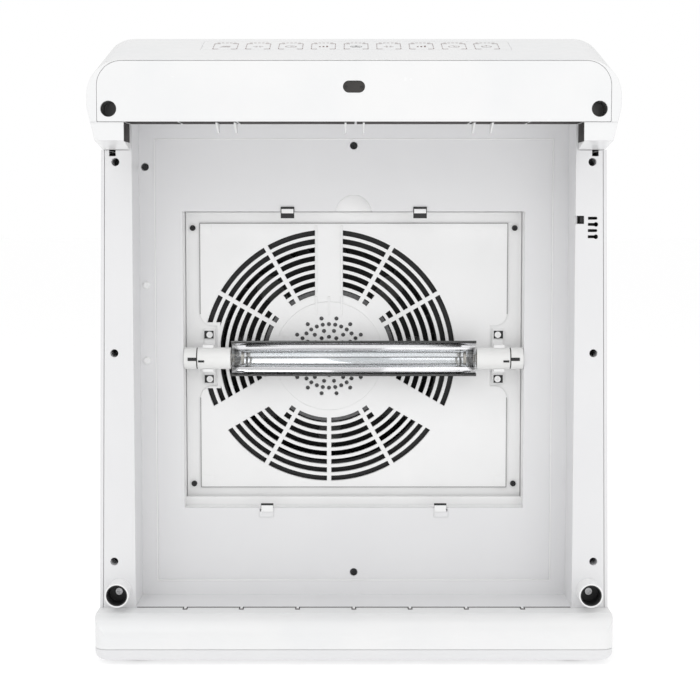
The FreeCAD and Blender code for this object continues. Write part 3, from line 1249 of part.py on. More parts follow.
def sloped_plate(name, grow, sink, thick):
    """A plate of the control panel's outline, its underside sunk into the sloping face."""
    plate = doc.addObject("Part::Box", name)
    plate.setExpression("Length", bound(f"panel_long + 2 * ({grow})"))
    plate.setExpression("Width", bound(f"panel_wide + 2 * ({grow})"))
    plate.setExpression("Height", bound(thick))
    return place_on_slope(plate, f"panel_shift - panel_long / 2 - ({grow})",
                          f"ridge_setback - panel_setback - ({grow})", sink)


def guide_ribs():
    """Three pairs of ribs under the fascia that guide the cover's hooks."""
    ribs = []
    foot = "fascia_low - guide_drop"
    rear = "strip_face - guide_inset"
    profile = [("front_face + fascia_wall + over", "fascia_low + over"), (rear, "fascia_low + over"),
               (rear, foot),
               (f"{rear} - guide_foot", foot)]
    for pair in (-1, 0, 1):
        for name, side in SIDES:
            start = f"{pair} * guide_pitch + guide_shift + {side} * guide_pair / 2 - guide_wall / 2"
            ribs.append(prism(f"guide{pair + 1}_{name}", "YZ_Plane", profile, start, "guide_wall"))
    return ribs


def make_head_fascia():
    """The head's face with the shelf and ribs behind it, and the cups behind its two holes."""
    plate = fascia_plate("fascia_face", "0", "front_face + fascia_wall", "fascia_wall")
    shelf = block("fascia_shelf", evenly("2 * (leg_half - shelf_end_gap)"),
                  ("front_face + over", "strip_face - shelf_rear_gap"),
                  ("fascia_low", "fascia_low + shelf_wall"))
    spots = [(name, (f"{side} * (half_width - pin_inset)", "pin_height")) for name, side in SIDES]
    through = past("front_face", "front_face + fascia_wall")
    holes = [rod(f"pin_hole_{name}", "Y", spot, through, "pin_radius") for name, spot in spots]
    pill = slab("receiver_hole", "XZ_Plane", receiver_sides("0"), ("receiver_tall / 2 - over / 100",) * 4,
                f"-({through[1]})", "fascia_wall + 2 * over")
    keep(cut("head_fascia", fuse("fascia_solid", [plate, shelf] + guide_ribs()), holes + [pill]))
    start = "(front_face + fascia_wall + seam)"
    cups = [cut(f"pin_cup_{name}",
                rod(f"pin_cup_solid_{name}", "Y", spot, (start, f"{start} + pin_cup_depth + pin_cup_floor"),
                    "pin_radius + pin_cup_wall"),
                [rod(f"pin_cup_bore_{name}", "Y", spot, (f"{start} - over", f"{start} + pin_cup_depth"),
                     "pin_radius")])
            for name, spot in spots]
    keep(group("pin_cups", cups))


def receiver_sides(inset):
    """The receiver's pill outline less an inset."""
    half, rise = f"(receiver_width / 2 - {inset})", f"(receiver_tall / 2 - {inset})"
    return (f"-{half}", half, f"receiver_height - {rise}", f"receiver_height + {rise}")


def make_receiver():
    """The remote receiver: a dark lens with two small screws and a board behind it."""
    face = "(front_face + receiver_sink)"
    rear = f"({face} + receiver_wall)"
    lens = slab("receiver_lens_solid", "XZ_Plane", receiver_sides("receiver_gap"),
                ("receiver_tall / 2 - receiver_gap - over / 100",) * 4, f"-{rear}", "receiver_wall")
    spots = [(name, (f"{side} * receiver_screw_x", "receiver_height")) for name, side in SIDES]
    holes = [rod(f"receiver_hole_{name}", "Y", spot, past(face, rear), "receiver_screw_shank + fit_gap")
             for name, spot in spots]
    keep(cut("receiver_lens", lens, holes))
    eye_face = f"({rear} + seam)"
    board_face = f"({eye_face} + eye_deep)"
    eye = block("receiver_eye", evenly("eye_side"), (eye_face, f"{board_face} + board_wall / 2"),
                around("receiver_height", "eye_side"))
    plate = block("receiver_plate", evenly("receiver_board_wide"), (board_face, f"{board_face} + board_wall"),
                  around("receiver_height", "receiver_board_tall"))
    keep(fuse("receiver_board", [plate, eye]))
    keep(group("receiver_screws", [
        fuse(f"receiver_screw_{name}",
             [rod(f"receiver_screw_head_{name}", "Y", spot, (f"{face} - receiver_screw_head / 2", face),
                  "receiver_screw_head"),
              rod(f"receiver_screw_shank_{name}", "Y", spot, (face, eye_face), "receiver_screw_shank")])
        for name, spot in spots]))


def make_outlet_grille():
    """The outlet grille: a frame, cross bars and a row of leaning slats."""
    half = "outlet_width / 2 - seam"
    front, rear = "(outlet_front + seam)", "(outlet_rear - seam)"
    low = "(total_height - grille_tall)"
    room = block("grille_rim_room", evenly(f"2 * ({half} - grille_rim_side)"),
                 (f"{front} + grille_rim_end", f"{rear} - grille_rim_end"), past(low, "total_height"))
    rim = cut("grille_rim", block("grille_rim_solid", evenly(f"2 * ({half})"), (front, rear),
                                  (low, "total_height")), [room])
    bars = [block(f"grille_bar{place + 2}", around(f"{place} * grille_bar_pitch", "grille_bar_wide"),
                  (f"{front} + over", f"{rear} - over"), (low, "total_height - grille_bar_sink"))
            for place in range(-2, 3)]
    slats = []
    for index in range(count_of("slat_count")):
        start = f"{front} + slat_start + {index} * (outlet_depth - grille_tall) / slat_count"
        foot, brow = f"{low} + slat_inset", "total_height - slat_inset"
        profile = [(start, foot), (f"{start} + slat_wall", foot), (f"{start} + slat_wall + slat_lean", brow),
                   (f"{start} + slat_lean", brow)]
        slats.append(prism(f"grille_slat{index}", "YZ_Plane", profile, f"grille_rim_side / 2 - ({half})",
                           f"2 * ({half}) - grille_rim_side"))
    keep(fuse("outlet_grille", [rim] + bars + slats))


def make_controls():
    """The printed panel, the touch board under it and a spring under each key."""
    keep(sloped_plate("control_overlay", "0", "panel_wall", "panel_wall"))
    keep(sloped_plate("touch_board", "-touch_inset", "head_wall + key_room", "board_wall"))
    springs = []
    middle = "(key_count - 1) / 2"
    for index in range(count_of("key_count")):
        spring = doc.addObject("Part::Cylinder", f"touch_spring{index}")
        spring.setExpression("Radius", bound("key_radius"))
        spring.setExpression("Height", bound("key_room - board_wall - 2 * seam"))
        springs.append(place_on_slope(spring, f"panel_shift + ({index} - {middle}) * key_pitch",
                                      "ridge_setback - panel_setback + panel_wide / 2",
                                      "head_wall + key_room - board_wall - seam"))
    keep(group("touch_springs", springs))


# ---------------------------------------------------------------- cover sockets
def socket_spots():
    """The centres of the two cover sockets, as x and z."""
    return [(f"{side} * socket_x", "socket_z") for _, side in SIDES]


def make_cover_sockets():
    """The tubes that the front cover's lower pins enter, each with a black liner held by a screw."""
    front = "(strip_face - socket_out)"
    seat = "strip_face - seam - socket_seat"
    screws = []
    for (name, _), spot in zip(SIDES, socket_spots()):
        liner = "socket_bore + socket_liner"
        keep(ring(f"cover_socket_{name}", "Y", spot, (front, "strip_face"), f"{liner} + socket_wall", liner))
        solid = rod(f"socket_cup_solid_{name}", "Y", spot,
                    (f"{front} + socket_liner_drop", "strip_face - seam"),
                    f"{liner} - fit_gap")
        bore = rod(f"socket_cup_bore_{name}", "Y", spot, (front, f"{seat} - screw_head_high - seam"),
                   "socket_bore")
        sink = rod(f"socket_cup_sink_{name}", "Y", spot, (front, seat), "screw_head + seam")
        hole = pilot(f"socket_cup_pilot_{name}", "Y", spot, (front, "strip_face + over"))
        keep(cut(f"socket_cup_{name}", solid, [bore, sink, hole]))
        screws.append(screw(f"socket_screw_{name}", (spot[0], seat, spot[1]), "-Y", long="socket_screw_long"))
    keep(group("socket_screws", screws))


# ---------------------------------------------------------------- fasteners
def make_fasteners():
    """Screws of every kind, each standing on its seat, and the two plugs."""
    strip = [screw(f"frame_screw{index}", (x, "strip_face + boss_long", z), "-Y")
             for index, (x, z) in enumerate(strip_screw_spots())]
    wall = [screw(f"wall_screw{index}", (x, f"{face} + boss_floor", z), "-Y", long="boss_floor")
            for index, (x, z, face) in enumerate(wall_screw_spots())]
    keep(group("frame_screws", strip + wall))
    keep(group("guard_screws", [screw(f"guard_screw{index}", (x, "guard_seat", z), "-Y",
                                      head="screw_head_small",
                                      long="guard_wall + seam + frame_wall")
                                for index, (x, z) in enumerate(guard_screw_spots())]))
    keep(group("holder_screws", [screw(f"holder_screw{index}", (x, "guard_seat - holder_wall", z), "-Y",
                                       head="screw_head_mid", long="holder_wall + guard_wall")
                                 for index, (x, z) in enumerate(holder_screw_spots())]))
    keep(group("pan_screws", [screw(f"pan_screw{index}", (x, y, "foot_lift"), "-Z",
                                    long="base_wall + shell_pilot")
                              for index, (x, y) in enumerate(pan_screw_spots())]))
    keep(group("base_screws", [screw(f"base_screw{index}", (x, y, "frame_low - seam - base_wall"), "-Z")
                               for index, (x, y) in enumerate(base_screw_spots())]))
    face = "flange_face"
    rim, neck = "hole_radius", "hole_radius - plug_wall - seam"
    profile = [("0", f"{face} - plug_dome"), (f"{rim} - over", f"{face} - plug_dome"),
               (rim, f"{face} - plug_rim"),
               (rim, face), (neck, face), (neck, f"{face} + plug_long"), ("0", f"{face} + plug_long")]
    keep(group("screw_plugs", [turned(f"plug{index}", "Y", profile, spot)
                               for index, spot in enumerate(plug_spots())]))


# ---------------------------------------------------------------- electrics
def make_interlock():
    """The cover's safety switch and the plunger that the cover presses in."""
    across = ("bay_half + plunger_side", "bay_half + plunger_side + plunger_wide")
    tip = "(strip_face + plunger_lead)"
    end = f"({tip} + plunger_long)"
    front = "(strip_face + switch_setback)"
    pocket_end = f"{end} + plunger_travel + over"
    body = block("switch_solid", (f"{across[0]} - switch_wall", f"{across[1]} + switch_wall"),
                 (front, f"{pocket_end} + switch_floor"), around("interlock_z", "switch_tall"))
    well = block("switch_well", (f"{across[0]} - plunger_play", f"{across[1]} + plunger_play"),
                 (f"{front} - over", pocket_end), around("interlock_z", "plunger_tall + 2 * plunger_play"))
    keep(cut("interlock_switch", body, [well]))
    keep(block("interlock_plunger", across, (tip, end), around("interlock_z", "plunger_tall")))


def make_sensor():
    """The air sensor's case, open towards its slots."""
    start = "(strip_face + frame_wall + seam)"
    near = "bay_half + sensor_side - sensor_wall"
    across = (near, f"{near} + sensor_case_wide")
    tall = around("sensor_z + over", "2 * sensor_case_half")
    case = block("sensor_solid", across, (start, f"{start} + sensor_deep"), tall)
    room = block("sensor_room", (f"{across[0]} + sensor_wall", f"{across[1]} - sensor_wall"),
                 (f"{start} - over", f"{start} + sensor_deep - 4 * sensor_wall"),
                 (f"{tall[0]} + sensor_wall", f"{tall[1]} - sensor_wall"))
    keep(cut("air_sensor", case, [room]))


# Where each block stands on the main board and its size: along, up, deep, tall and how high it rises.
BOARD_BLOCKS = {
    "transformer": (16, 38, 26, 30, 15), "relay": (52, 38, 20, 20, 12),
    "film_capacitor": (80, 38, 14, 24, 10),
    "choke": (16, 84, 14, 14, 14), "motor_plug": (36, 84, 12, 30, 6), "processor": (64, 88, 24, 24, 4),
    "panel_plug": (86, 94, 10, 40, 9),
}
BOARD_CANS = ((24, 112), (40, 112), (58, 114))


def make_board():
    """The control board on the left wall with its larger components."""
    face = "(board_line + board_wall)"
    keep(cut("main_board", block("board_plate", ("board_line", face), ("board_front", "board_rear"),
                                 ("board_low", "board_high")),
             [rod(f"board_hole{index}", "X", spot, past("board_line", face), "board_hole")
              for index, spot in enumerate(board_spots())]))
    parts = []
    for name, (along, up, deep, tall, high) in BOARD_BLOCKS.items():
        parts.append(block(name, (face, f"{face} + {high}"), around(f"board_front + {along}", deep),
                           around(f"board_low + {up}", tall)))
    for index, (along, up) in enumerate(BOARD_CANS):
        parts.append(rod(f"board_can{index}", "X", (f"board_front + {along}", f"board_low + {up}"),
                         (face, f"{face} + can_tall"), "can_radius"))
    keep(group("board_components", parts))


def make_ballast():
    """The lamp's ballast on the floor of the pan, under the right of the body."""
    floor = "(foot_lift + base_wall)"
    right, rear = "ballast_left + ballast_long", "ballast_front + ballast_wide"
    case = slab("ballast_case", "XY_Plane", ("ballast_left", right, "ballast_front", rear),
                ("ballast_round",) * 4, floor,
                "ballast_tall")
    ears = block("ballast_ears", ("ballast_left - ballast_ear", f"{right} + ballast_ear"),
                 around("ballast_front + ballast_wide / 2", "ballast_ear_wide"),
                 (floor, f"{floor} + ballast_ear_wall"))
    keep(fuse("lamp_ballast", [case, ears]))


def make_inlet():
    """The mains inlet in the back, flush with the shell, with its three pins."""
    face = block("inlet_face", ("inlet_left - inlet_rim", "inlet_right + inlet_rim"),
                 ("rear_face - inlet_rim_deep", "rear_face"),
                 ("inlet_low - inlet_rim", "inlet_high + inlet_rim"))
    body = block("inlet_body", ("inlet_left + inlet_gap", "inlet_right - inlet_gap"),
                 ("rear_face - inlet_long", "rear_face - inlet_rim_deep / 2"),
                 ("inlet_low + inlet_gap", "inlet_high - inlet_gap"))
    floor = "rear_face - inlet_deep"
    well = block("inlet_well", ("inlet_left + inlet_wall", "inlet_right - inlet_wall"),
                 (floor, "rear_face + over"),
                 ("inlet_low + inlet_wall", "inlet_high - inlet_wall"))
    keep(cut("mains_inlet", fuse("inlet_solid", [face, body]), [well]))
    middle = "(inlet_low + inlet_high) / 2"
    spots = (("line", -1, -1), ("earth", 0, 1), ("neutral", 1, -1))
    keep(group("inlet_pins", [block(f"inlet_pin_{name}",
                                    around(f"inlet_x + {side} * inlet_pin_side", "inlet_pin"),
                                    (floor, "rear_face - inlet_pin_sink"),
                                    around(f"{middle} + {lift} * inlet_pin_rise", "inlet_pin_tall"))
                              for name, side, lift in spots]))


def build_all():
    """Make every sub-part, each in its own node."""
    for make in (make_base, make_base_pan, make_feet, make_front_frame, make_fan_tray, make_fan_guard,
                 make_lamp, make_motor, make_impeller, make_scroll_housing, make_outlet_duct,
                 make_rear_shell, make_head_shell, make_head_fascia, make_receiver, make_outlet_grille,
                 make_controls, make_cover_sockets, make_fasteners, make_interlock, make_sensor,
                 make_board, make_ballast, make_inlet):
        make()
    doc.recompute()


def write_all():
    """Check every object and every sub-part, then write one file for each node."""
    faults = [item.Name for item in doc.Objects if "Invalid" in item.State or "Error" in item.State]
    faults += [piece.Label for piece in nodes if piece.Shape.isNull() or not piece.Shape.isValid()]
    if faults:
        raise RuntimeError("not built: " + ", ".join(faults))
    os.makedirs("parts", exist_ok=True)
    for piece in nodes:
        piece.Shape.exportStep(f"parts/{piece.Label}.step")
        print(piece.Label, len(piece.Shape.Solids), round(piece.Shape.Volume / 1000, 1))


build_all()
write_all()
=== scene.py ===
"""Air purifier with its front cover and filters off: finishes, fine pieces, light and camera."""
import math

import bpy
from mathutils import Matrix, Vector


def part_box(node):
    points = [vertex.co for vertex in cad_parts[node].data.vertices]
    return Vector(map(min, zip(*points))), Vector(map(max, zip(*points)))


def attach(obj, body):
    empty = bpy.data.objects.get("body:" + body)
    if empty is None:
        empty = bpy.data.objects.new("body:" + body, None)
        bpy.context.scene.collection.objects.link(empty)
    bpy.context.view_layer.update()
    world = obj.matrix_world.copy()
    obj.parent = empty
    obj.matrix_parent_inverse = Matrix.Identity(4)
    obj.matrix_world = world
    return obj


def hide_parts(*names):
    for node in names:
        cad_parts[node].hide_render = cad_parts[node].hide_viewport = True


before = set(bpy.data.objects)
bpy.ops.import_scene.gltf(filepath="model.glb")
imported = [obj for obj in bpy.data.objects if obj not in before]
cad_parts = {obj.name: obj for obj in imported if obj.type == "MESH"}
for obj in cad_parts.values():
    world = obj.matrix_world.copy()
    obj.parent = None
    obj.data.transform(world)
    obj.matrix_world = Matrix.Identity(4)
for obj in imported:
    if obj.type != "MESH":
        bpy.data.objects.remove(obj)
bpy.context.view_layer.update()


# ---------------------------------------------------------------- finishes

def start_finish(name):
    """A new material: its nodes, its links, its main shader and the place of each point."""
    finish = bpy.data.materials.new(name)
    finish.use_nodes = True
    nodes = finish.node_tree.nodes
    place = nodes.new("ShaderNodeTexCoord")
    return finish, nodes, finish.node_tree.links, nodes["Principled BSDF"], place


def speckle(nodes, links, place, scale, detail=2.0, stretch=(1.0, 1.0, 1.0)):
    """Cloudy noise in metres, drawn out along the axes that stretch makes small."""
    mapping = nodes.new("ShaderNodeMapping")
    mapping.inputs["Scale"].default_value = stretch
    noise = nodes.new("ShaderNodeTexNoise")
    noise.inputs["Scale"].default_value = scale
    noise.inputs["Detail"].default_value = detail
    links.new(place.outputs["Object"], mapping.inputs["Vector"])
    links.new(mapping.outputs["Vector"], noise.inputs["Vector"])
    return noise.outputs["Fac"]


def shade_between(nodes, links, amount, dark, light, low=0.35, high=0.65):
    """Colours from dark to light as amount goes from low to high."""
    ramp = nodes.new("ShaderNodeValToRGB")
    ramp.color_ramp.elements[0].position = low
    ramp.color_ramp.elements[0].color = (*dark, 1.0)
    ramp.color_ramp.elements[1].position = high
    ramp.color_ramp.elements[1].color = (*light, 1.0)
    links.new(amount, ramp.inputs["Fac"])
    return ramp.outputs["Color"]


def spread(nodes, links, amount, low, high):
    """Turns an amount from 0 to 1 into a value from low to high."""
    scale = nodes.new("ShaderNodeMapRange")
    scale.inputs["To Min"].default_value = low
    scale.inputs["To Max"].default_value = high
    links.new(amount, scale.inputs["Value"])
    return scale.outputs["Result"]


def relief(nodes, links, shader, height, depth, strength, edge=0.0):
    """Bump of that depth in metres, over edges that look rounded by that radius."""
    bump = nodes.new("ShaderNodeBump")
    bump.inputs["Distance"].default_value = depth
    bump.inputs["Strength"].default_value = strength
    links.new(height, bump.inputs["Height"])
    if edge:
        bevel = nodes.new("ShaderNodeBevel")
        bevel.samples = 4
        bevel.inputs["Radius"].default_value = edge
        links.new(bevel.outputs["Normal"], bump.inputs["Normal"])
    links.new(bump.outputs["Normal"], shader.inputs["Normal"])


def moulded(name, dark, light, smooth, rough, grain, depth, strength, edge=0.0006):
    """Moulded plastic: slow cloudy shade, patchy gloss and a fine eroded grain."""
    finish, nodes, links, shader, place = start_finish(name)
    cloud = speckle(nodes, links, place, 14.0, 3.0)
    patches = speckle(nodes, links, place, 90.0, 4.0)
    links.new(shade_between(nodes, links, cloud, dark, light), shader.inputs["Base Color"])
    links.new(spread(nodes, links, patches, smooth, rough), shader.inputs["Roughness"])
    relief(nodes, links, shader, speckle(nodes, links, place, grain, 2.0), depth, strength, edge)
    return finish


def bare_metal(name, dark, light, smooth, rough, along, depth=0.00004, strength=0.3):
    """Metal with fine drawing lines along one axis."""
    finish, nodes, links, shader, place = start_finish(name)
    shader.inputs["Metallic"].default_value = 1.0
    lines = speckle(nodes, links, place, 1500.0, 3.0, along)
    links.new(shade_between(nodes, links, lines, dark, light), shader.inputs["Base Color"])
    links.new(spread(nodes, links, lines, smooth, rough), shader.inputs["Roughness"])
    relief(nodes, links, shader, lines, depth, strength, 0.0003)
    return finish


def lamp_tube_glass():
    """Clear quartz with faint drawing streaks and a light haze."""
    finish, nodes, links, shader, place = start_finish("lamp_tube_glass")
    shader.inputs["Transmission Weight"].default_value = 1.0
    shader.inputs["IOR"].default_value = 1.46
    streaks = speckle(nodes, links, place, 700.0, 2.0, (0.04, 1.0, 1.0))
    links.new(shade_between(nodes, links, streaks, (0.93, 0.95, 0.96), (0.99, 0.99, 0.99)),
              shader.inputs["Base Color"])
    links.new(spread(nodes, links, streaks, 0.01, 0.06), shader.inputs["Roughness"])
    relief(nodes, links, shader, streaks, 0.00003, 0.3)
    return finish


def board_laminate():
    """Green laminate with darker copper tracks under the lacquer."""
    finish, nodes, links, shader, place = start_finish("board_laminate")
    tracks = nodes.new("ShaderNodeTexBrick")
    tracks.inputs["Scale"].default_value = 260.0
    tracks.inputs["Mortar Size"].default_value = 0.12
    tracks.inputs["Color1"].default_value = (0.012, 0.10, 0.035, 1.0)
    tracks.inputs["Color2"].default_value = (0.010, 0.075, 0.028, 1.0)
    tracks.inputs["Mortar"].default_value = (0.03, 0.19, 0.07, 1.0)
    links.new(place.outputs["Object"], tracks.inputs["Vector"])
    links.new(tracks.outputs["Color"], shader.inputs["Base Color"])
    cloud = speckle(nodes, links, place, 300.0)
    links.new(spread(nodes, links, cloud, 0.25, 0.45), shader.inputs["Roughness"])
    relief(nodes, links, shader, tracks.outputs["Fac"], 0.00005, 0.4)
    return finish


# Each finish, with the pieces of the design that have it. Some are for new pieces alone.
FINISHES = {
    "shell_gloss": (
        moulded("shell_gloss", (0.845, 0.85, 0.855), (0.875, 0.875, 0.875), 0.20, 0.30,
                900.0, 0.00002, 0.10),
        ["head_shell", "head_fascia", "base", "control_overlay"],
    ),
    "body_satin": (
        moulded("body_satin", (0.785, 0.785, 0.795), (0.80, 0.80, 0.808), 0.34, 0.46,
                1800.0, 0.00003, 0.25),
        ["front_frame", "rear_shell", "base_pan", "outlet_grille"],
    ),
    # Same satin as body_satin, only lighter: the extra brightness is painted light.
    "guard_satin_painted_light": (
        moulded("guard_satin_painted_light", (0.88, 0.88, 0.88), (0.91, 0.91, 0.91), 0.34, 0.46,
                1800.0, 0.00003, 0.25),
        ["fan_guard", "fan_tray", "lamp_holder_left", "lamp_holder_right", "cover_socket_left",
         "cover_socket_right", "outlet_duct", "screw_plugs"],
    ),
    "scroll_grey": (
        moulded("scroll_grey", (0.40, 0.40, 0.405), (0.50, 0.498, 0.50), 0.40, 0.55,
                1500.0, 0.00003, 0.3),
        ["scroll_housing"],
    ),
    "scroll_dark": (
        moulded("scroll_dark", (0.010, 0.010, 0.011), (0.018, 0.018, 0.019), 0.40, 0.55,
                1500.0, 0.00003, 0.3),
        ["scroll_front"],
    ),
    "lamp_sleeve_white": (
        moulded("lamp_sleeve_white", (0.82, 0.82, 0.81), (0.88, 0.88, 0.87), 0.30, 0.42,
                1400.0, 0.00003, 0.2, 0.0004),
        ["lamp_sleeve_left", "lamp_sleeve_right", "lamp_boot_left", "lamp_boot_right"],
    ),
    # Black moulded plastic; on the new plates and rings in slots, gaps and pockets the same black is painted
    # shade.
    "black_moulding_and_painted_shade": (
        moulded("black_moulding_and_painted_shade", (0.008, 0.008, 0.009), (0.017, 0.017, 0.018), 0.34, 0.50,
                1500.0, 0.00003, 0.3),
        ["socket_cup_left", "socket_cup_right", "interlock_switch", "impeller",
         "mains_inlet", "interlock_plunger"],
    ),
    "cup_grey": (
        moulded("cup_grey", (0.13, 0.127, 0.125), (0.17, 0.166, 0.163), 0.14, 0.26,
                900.0, 0.00002, 0.2),
        ["pin_cups"],
    ),
    "grey_moulding": (
        moulded("grey_moulding", (0.07, 0.07, 0.072), (0.11, 0.11, 0.112), 0.36, 0.5,
                1500.0, 0.00003, 0.3),
        ["air_sensor", "lamp_ballast", "receiver_board", "motor_cap"],
    ),
    "foot_rubber": (
        moulded("foot_rubber", (0.03, 0.03, 0.03), (0.06, 0.06, 0.06), 0.65, 0.85,
                1200.0, 0.00006, 0.5),
        ["feet"],
    ),
    "smoked_lens": (
        moulded("smoked_lens", (0.03, 0.028, 0.026), (0.055, 0.05, 0.047), 0.08, 0.16,
                500.0, 0.00001, 0.1),
        ["receiver_lens"],
    ),
    "screw_steel": (
        bare_metal("screw_steel", (0.42, 0.42, 0.43), (0.62, 0.62, 0.63), 0.22, 0.42, (1.0, 0.2, 1.0)),
        ["pan_screws", "base_screws", "socket_screws", "motor_screws", "impeller_nut", "motor_shaft",
         "motor_bearings", "motor_rotor", "motor_stator", "inlet_pins", "lamp_pins", "lamp_caps",
         "touch_springs"],
    ),
    "screw_bright": (
        bare_metal("screw_bright", (0.72, 0.72, 0.72), (0.90, 0.90, 0.90), 0.25, 0.40, (1.0, 0.2, 1.0)),
        ["holder_screws"],
    ),
    # Black screws; on the receiver screws the black is painted shade of their holes.
    "screw_black_and_painted_shade": (
        bare_metal("screw_black_and_painted_shade", (0.03, 0.03, 0.031), (0.07, 0.07, 0.072), 0.35, 0.55, (1.0, 0.2, 1.0)),
        ["frame_screws", "receiver_screws", "guard_screws"],
    ),
    # The motor can's metal is made very dark as painted shade, seen through the hub vents.
    "motor_can_painted_shade": (
        bare_metal("motor_can_painted_shade", (0.10, 0.10, 0.102), (0.17, 0.17, 0.172), 0.30, 0.48,
                   (0.15, 1.0, 1.0)),
        ["motor_can"],
    ),
    "reflector_mirror": (
        bare_metal("reflector_mirror", (0.82, 0.82, 0.83), (0.92, 0.92, 0.93), 0.04, 0.12,
                   (0.01, 1.0, 1.0), 0.00002, 0.15),
        ["lamp_reflector"],
    ),
    # Darker metal for the mirror's lips and crease: painted dark reflection.
    "reflector_painted_dark_reflection": (
        bare_metal("reflector_painted_dark_reflection", (0.07, 0.07, 0.07), (0.16, 0.16, 0.16), 0.12, 0.25,
                   (0.01, 1.0, 1.0), 0.00002, 0.15),
        [],
    ),
    "key_ink_warm": (
        moulded("key_ink_warm", (0.20, 0.13, 0.125), (0.28, 0.20, 0.19), 0.5, 0.7,
                900.0, 0.00001, 0.1, 0.0),
        [],
    ),
    "key_ink_dark": (
        moulded("key_ink_dark", (0.03, 0.028, 0.028), (0.06, 0.056, 0.056), 0.5, 0.7,
                900.0, 0.00001, 0.1, 0.0),
        [],
    ),
    # Grey for bars in narrow gaps: painted shade.
    "painted_shade_grey": (
        moulded("painted_shade_grey", (0.27, 0.27, 0.27), (0.34, 0.34, 0.34), 0.6, 0.8,
                1500.0, 0.00002, 0.2, 0.0),
        [],
    ),
    # Near-black for strips under the head, beside its legs and in the snap gaps: painted shade.
    "painted_shade_dark": (
        moulded("painted_shade_dark", (0.035, 0.031, 0.031), (0.065, 0.058, 0.058), 0.85, 0.98,
                2600.0, 0.0001, 0.8, 0.0),
        [],
    ),
    "filament_wire": (
        bare_metal("filament_wire", (0.35, 0.33, 0.30), (0.6, 0.57, 0.52), 0.3, 0.5,
                   (1.0, 1.0, 1.0)),
        ["lamp_filaments"],
    ),
    "lamp_tube_glass": (lamp_tube_glass(), ["lamp_glass"]),
    "board_laminate": (board_laminate(), ["main_board", "board_components", "touch_board"]),
}

for finish, names in FINISHES.values():
    for name in names:
        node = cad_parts[name]
        node.data.materials.clear()
        node.data.materials.append(finish)


# ---------------------------------------------------------------- tools for new pieces

def put_down():
    """Nothing is selected, so the next tool acts on its own piece alone."""
    bpy.ops.object.select_all(action="DESELECT")


def take_up(piece):
    """Only this piece is selected and active."""
    put_down()
    piece.select_set(True)
    bpy.context.view_layer.objects.active = piece


def pick(piece, kind, wanted):
    """In edit mode, selects the faces, edges or corners that wanted() says yes to."""
    take_up(piece)
    bpy.ops.object.mode_set(mode="EDIT")
    bpy.ops.mesh.select_mode(type=kind)
    bpy.ops.mesh.select_all(action="DESELECT")
    bpy.ops.object.mode_set(mode="OBJECT")
    mesh = piece.data
    for part in {"FACE": mesh.polygons, "EDGE": mesh.edges, "VERT": mesh.vertices}[kind]:
        part.select = wanted(part)
    bpy.ops.object.mode_set(mode="EDIT")


def work(piece, kind, **settings):
    """Adds a modifier and applies it."""
    take_up(piece)
    modifier = piece.modifiers.new(kind.title(), kind)
    for setting, value in settings.items():
        setattr(modifier, setting, value)
    bpy.ops.object.modifier_apply(modifier=modifier.name)


def apply_place(piece):
    """Moves the piece's place, turn and size into its mesh."""
    take_up(piece)
    bpy.ops.object.transform_apply(location=True, rotation=True, scale=True)


def join(name, parts):
    """One piece out of several."""
    put_down()
    for part in parts:
        part.select_set(True)
    bpy.context.view_layer.objects.active = parts[0]
    if len(parts) > 1:
        bpy.ops.object.join()
    parts[0].name = name
    parts[0].data.name = name
    return parts[0]


def settle(piece, finish, angle=35.0, body="housing"):
    """Gives a piece its finish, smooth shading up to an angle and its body."""
    apply_place(piece)
    bpy.ops.object.shade_smooth_by_angle(angle=math.radians(angle))
    if finish:
        piece.data.materials.clear()
        piece.data.materials.append(FINISHES[finish][0])
    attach(piece, body)


def tile(centre, size, corner, turn=(0.0, 0.0, 0.0), steps=3):
    """A small slab with edges rounded by corner, in that many steps."""
    put_down()
    bpy.ops.mesh.primitive_cube_add(size=1.0, location=centre, rotation=turn)
    slab = bpy.context.object
    slab.scale = size
    apply_place(slab)
    work(slab, "BEVEL", width=corner, segments=steps, limit_method="ANGLE",
         angle_limit=math.radians(60.0))
    return slab


def band(centre, radius, wide, wall, sides=64):
    """A hoop about the lamp's axis, with its edges broken."""
    put_down()
    bpy.ops.mesh.primitive_cylinder_add(vertices=sides, radius=radius, depth=wide,
                                        end_fill_type="NOTHING", location=centre,
                                        rotation=(0.0, math.radians(90.0), 0.0))
    hoop = bpy.context.object
    apply_place(hoop)
    work(hoop, "SOLIDIFY", thickness=wall, offset=-1.0)
    work(hoop, "BEVEL", width=wall / 5, segments=2, limit_method="ANGLE",
         angle_limit=math.radians(60.0))
    return hoop


# ---------------------------------------------------------------- printed key marks

PANEL_LOW, PANEL_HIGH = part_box("control_overlay")
PANEL_MIDDLE = (PANEL_LOW.x + PANEL_HIGH.x) / 2
PANEL_FRONT_Y, PANEL_FRONT_Z = -0.0635, 0.53424
PANEL_REAR_Y, PANEL_REAR_Z = -0.01883, 0.54523
PANEL_TURN = math.atan2(PANEL_REAR_Z - PANEL_FRONT_Z, PANEL_REAR_Y - PANEL_FRONT_Y)
INK_LIFT = 0.00006
KEY_PITCH = 0.0288
SIGN_UP = 0.0175


def on_panel(across, up):
    """A point just over the panel's face, from its middle line and from its front edge up the slope."""
    return (PANEL_MIDDLE + across,
            PANEL_LOW.y + up * math.cos(PANEL_TURN) - INK_LIFT * math.sin(PANEL_TURN),
            PANEL_FRONT_Z + up * math.sin(PANEL_TURN) + INK_LIFT * math.cos(PANEL_TURN))


def ink_bar(across, up, wide, tall, spin=0.0):
    """One printed bar, lying on the panel."""
    put_down()
    bpy.ops.mesh.primitive_plane_add(size=1.0, location=on_panel(across, up))
    bar = bpy.context.object
    bar.rotation_mode = "XYZ"
    bar.scale = (wide, tall, 1.0)
    bar.rotation_euler = (0.0, 0.0, spin)
    bpy.ops.object.transform_apply(location=False, rotation=True, scale=True)
    bar.rotation_euler = (PANEL_TURN, 0.0, 0.0)
    apply_place(bar)
    return bar


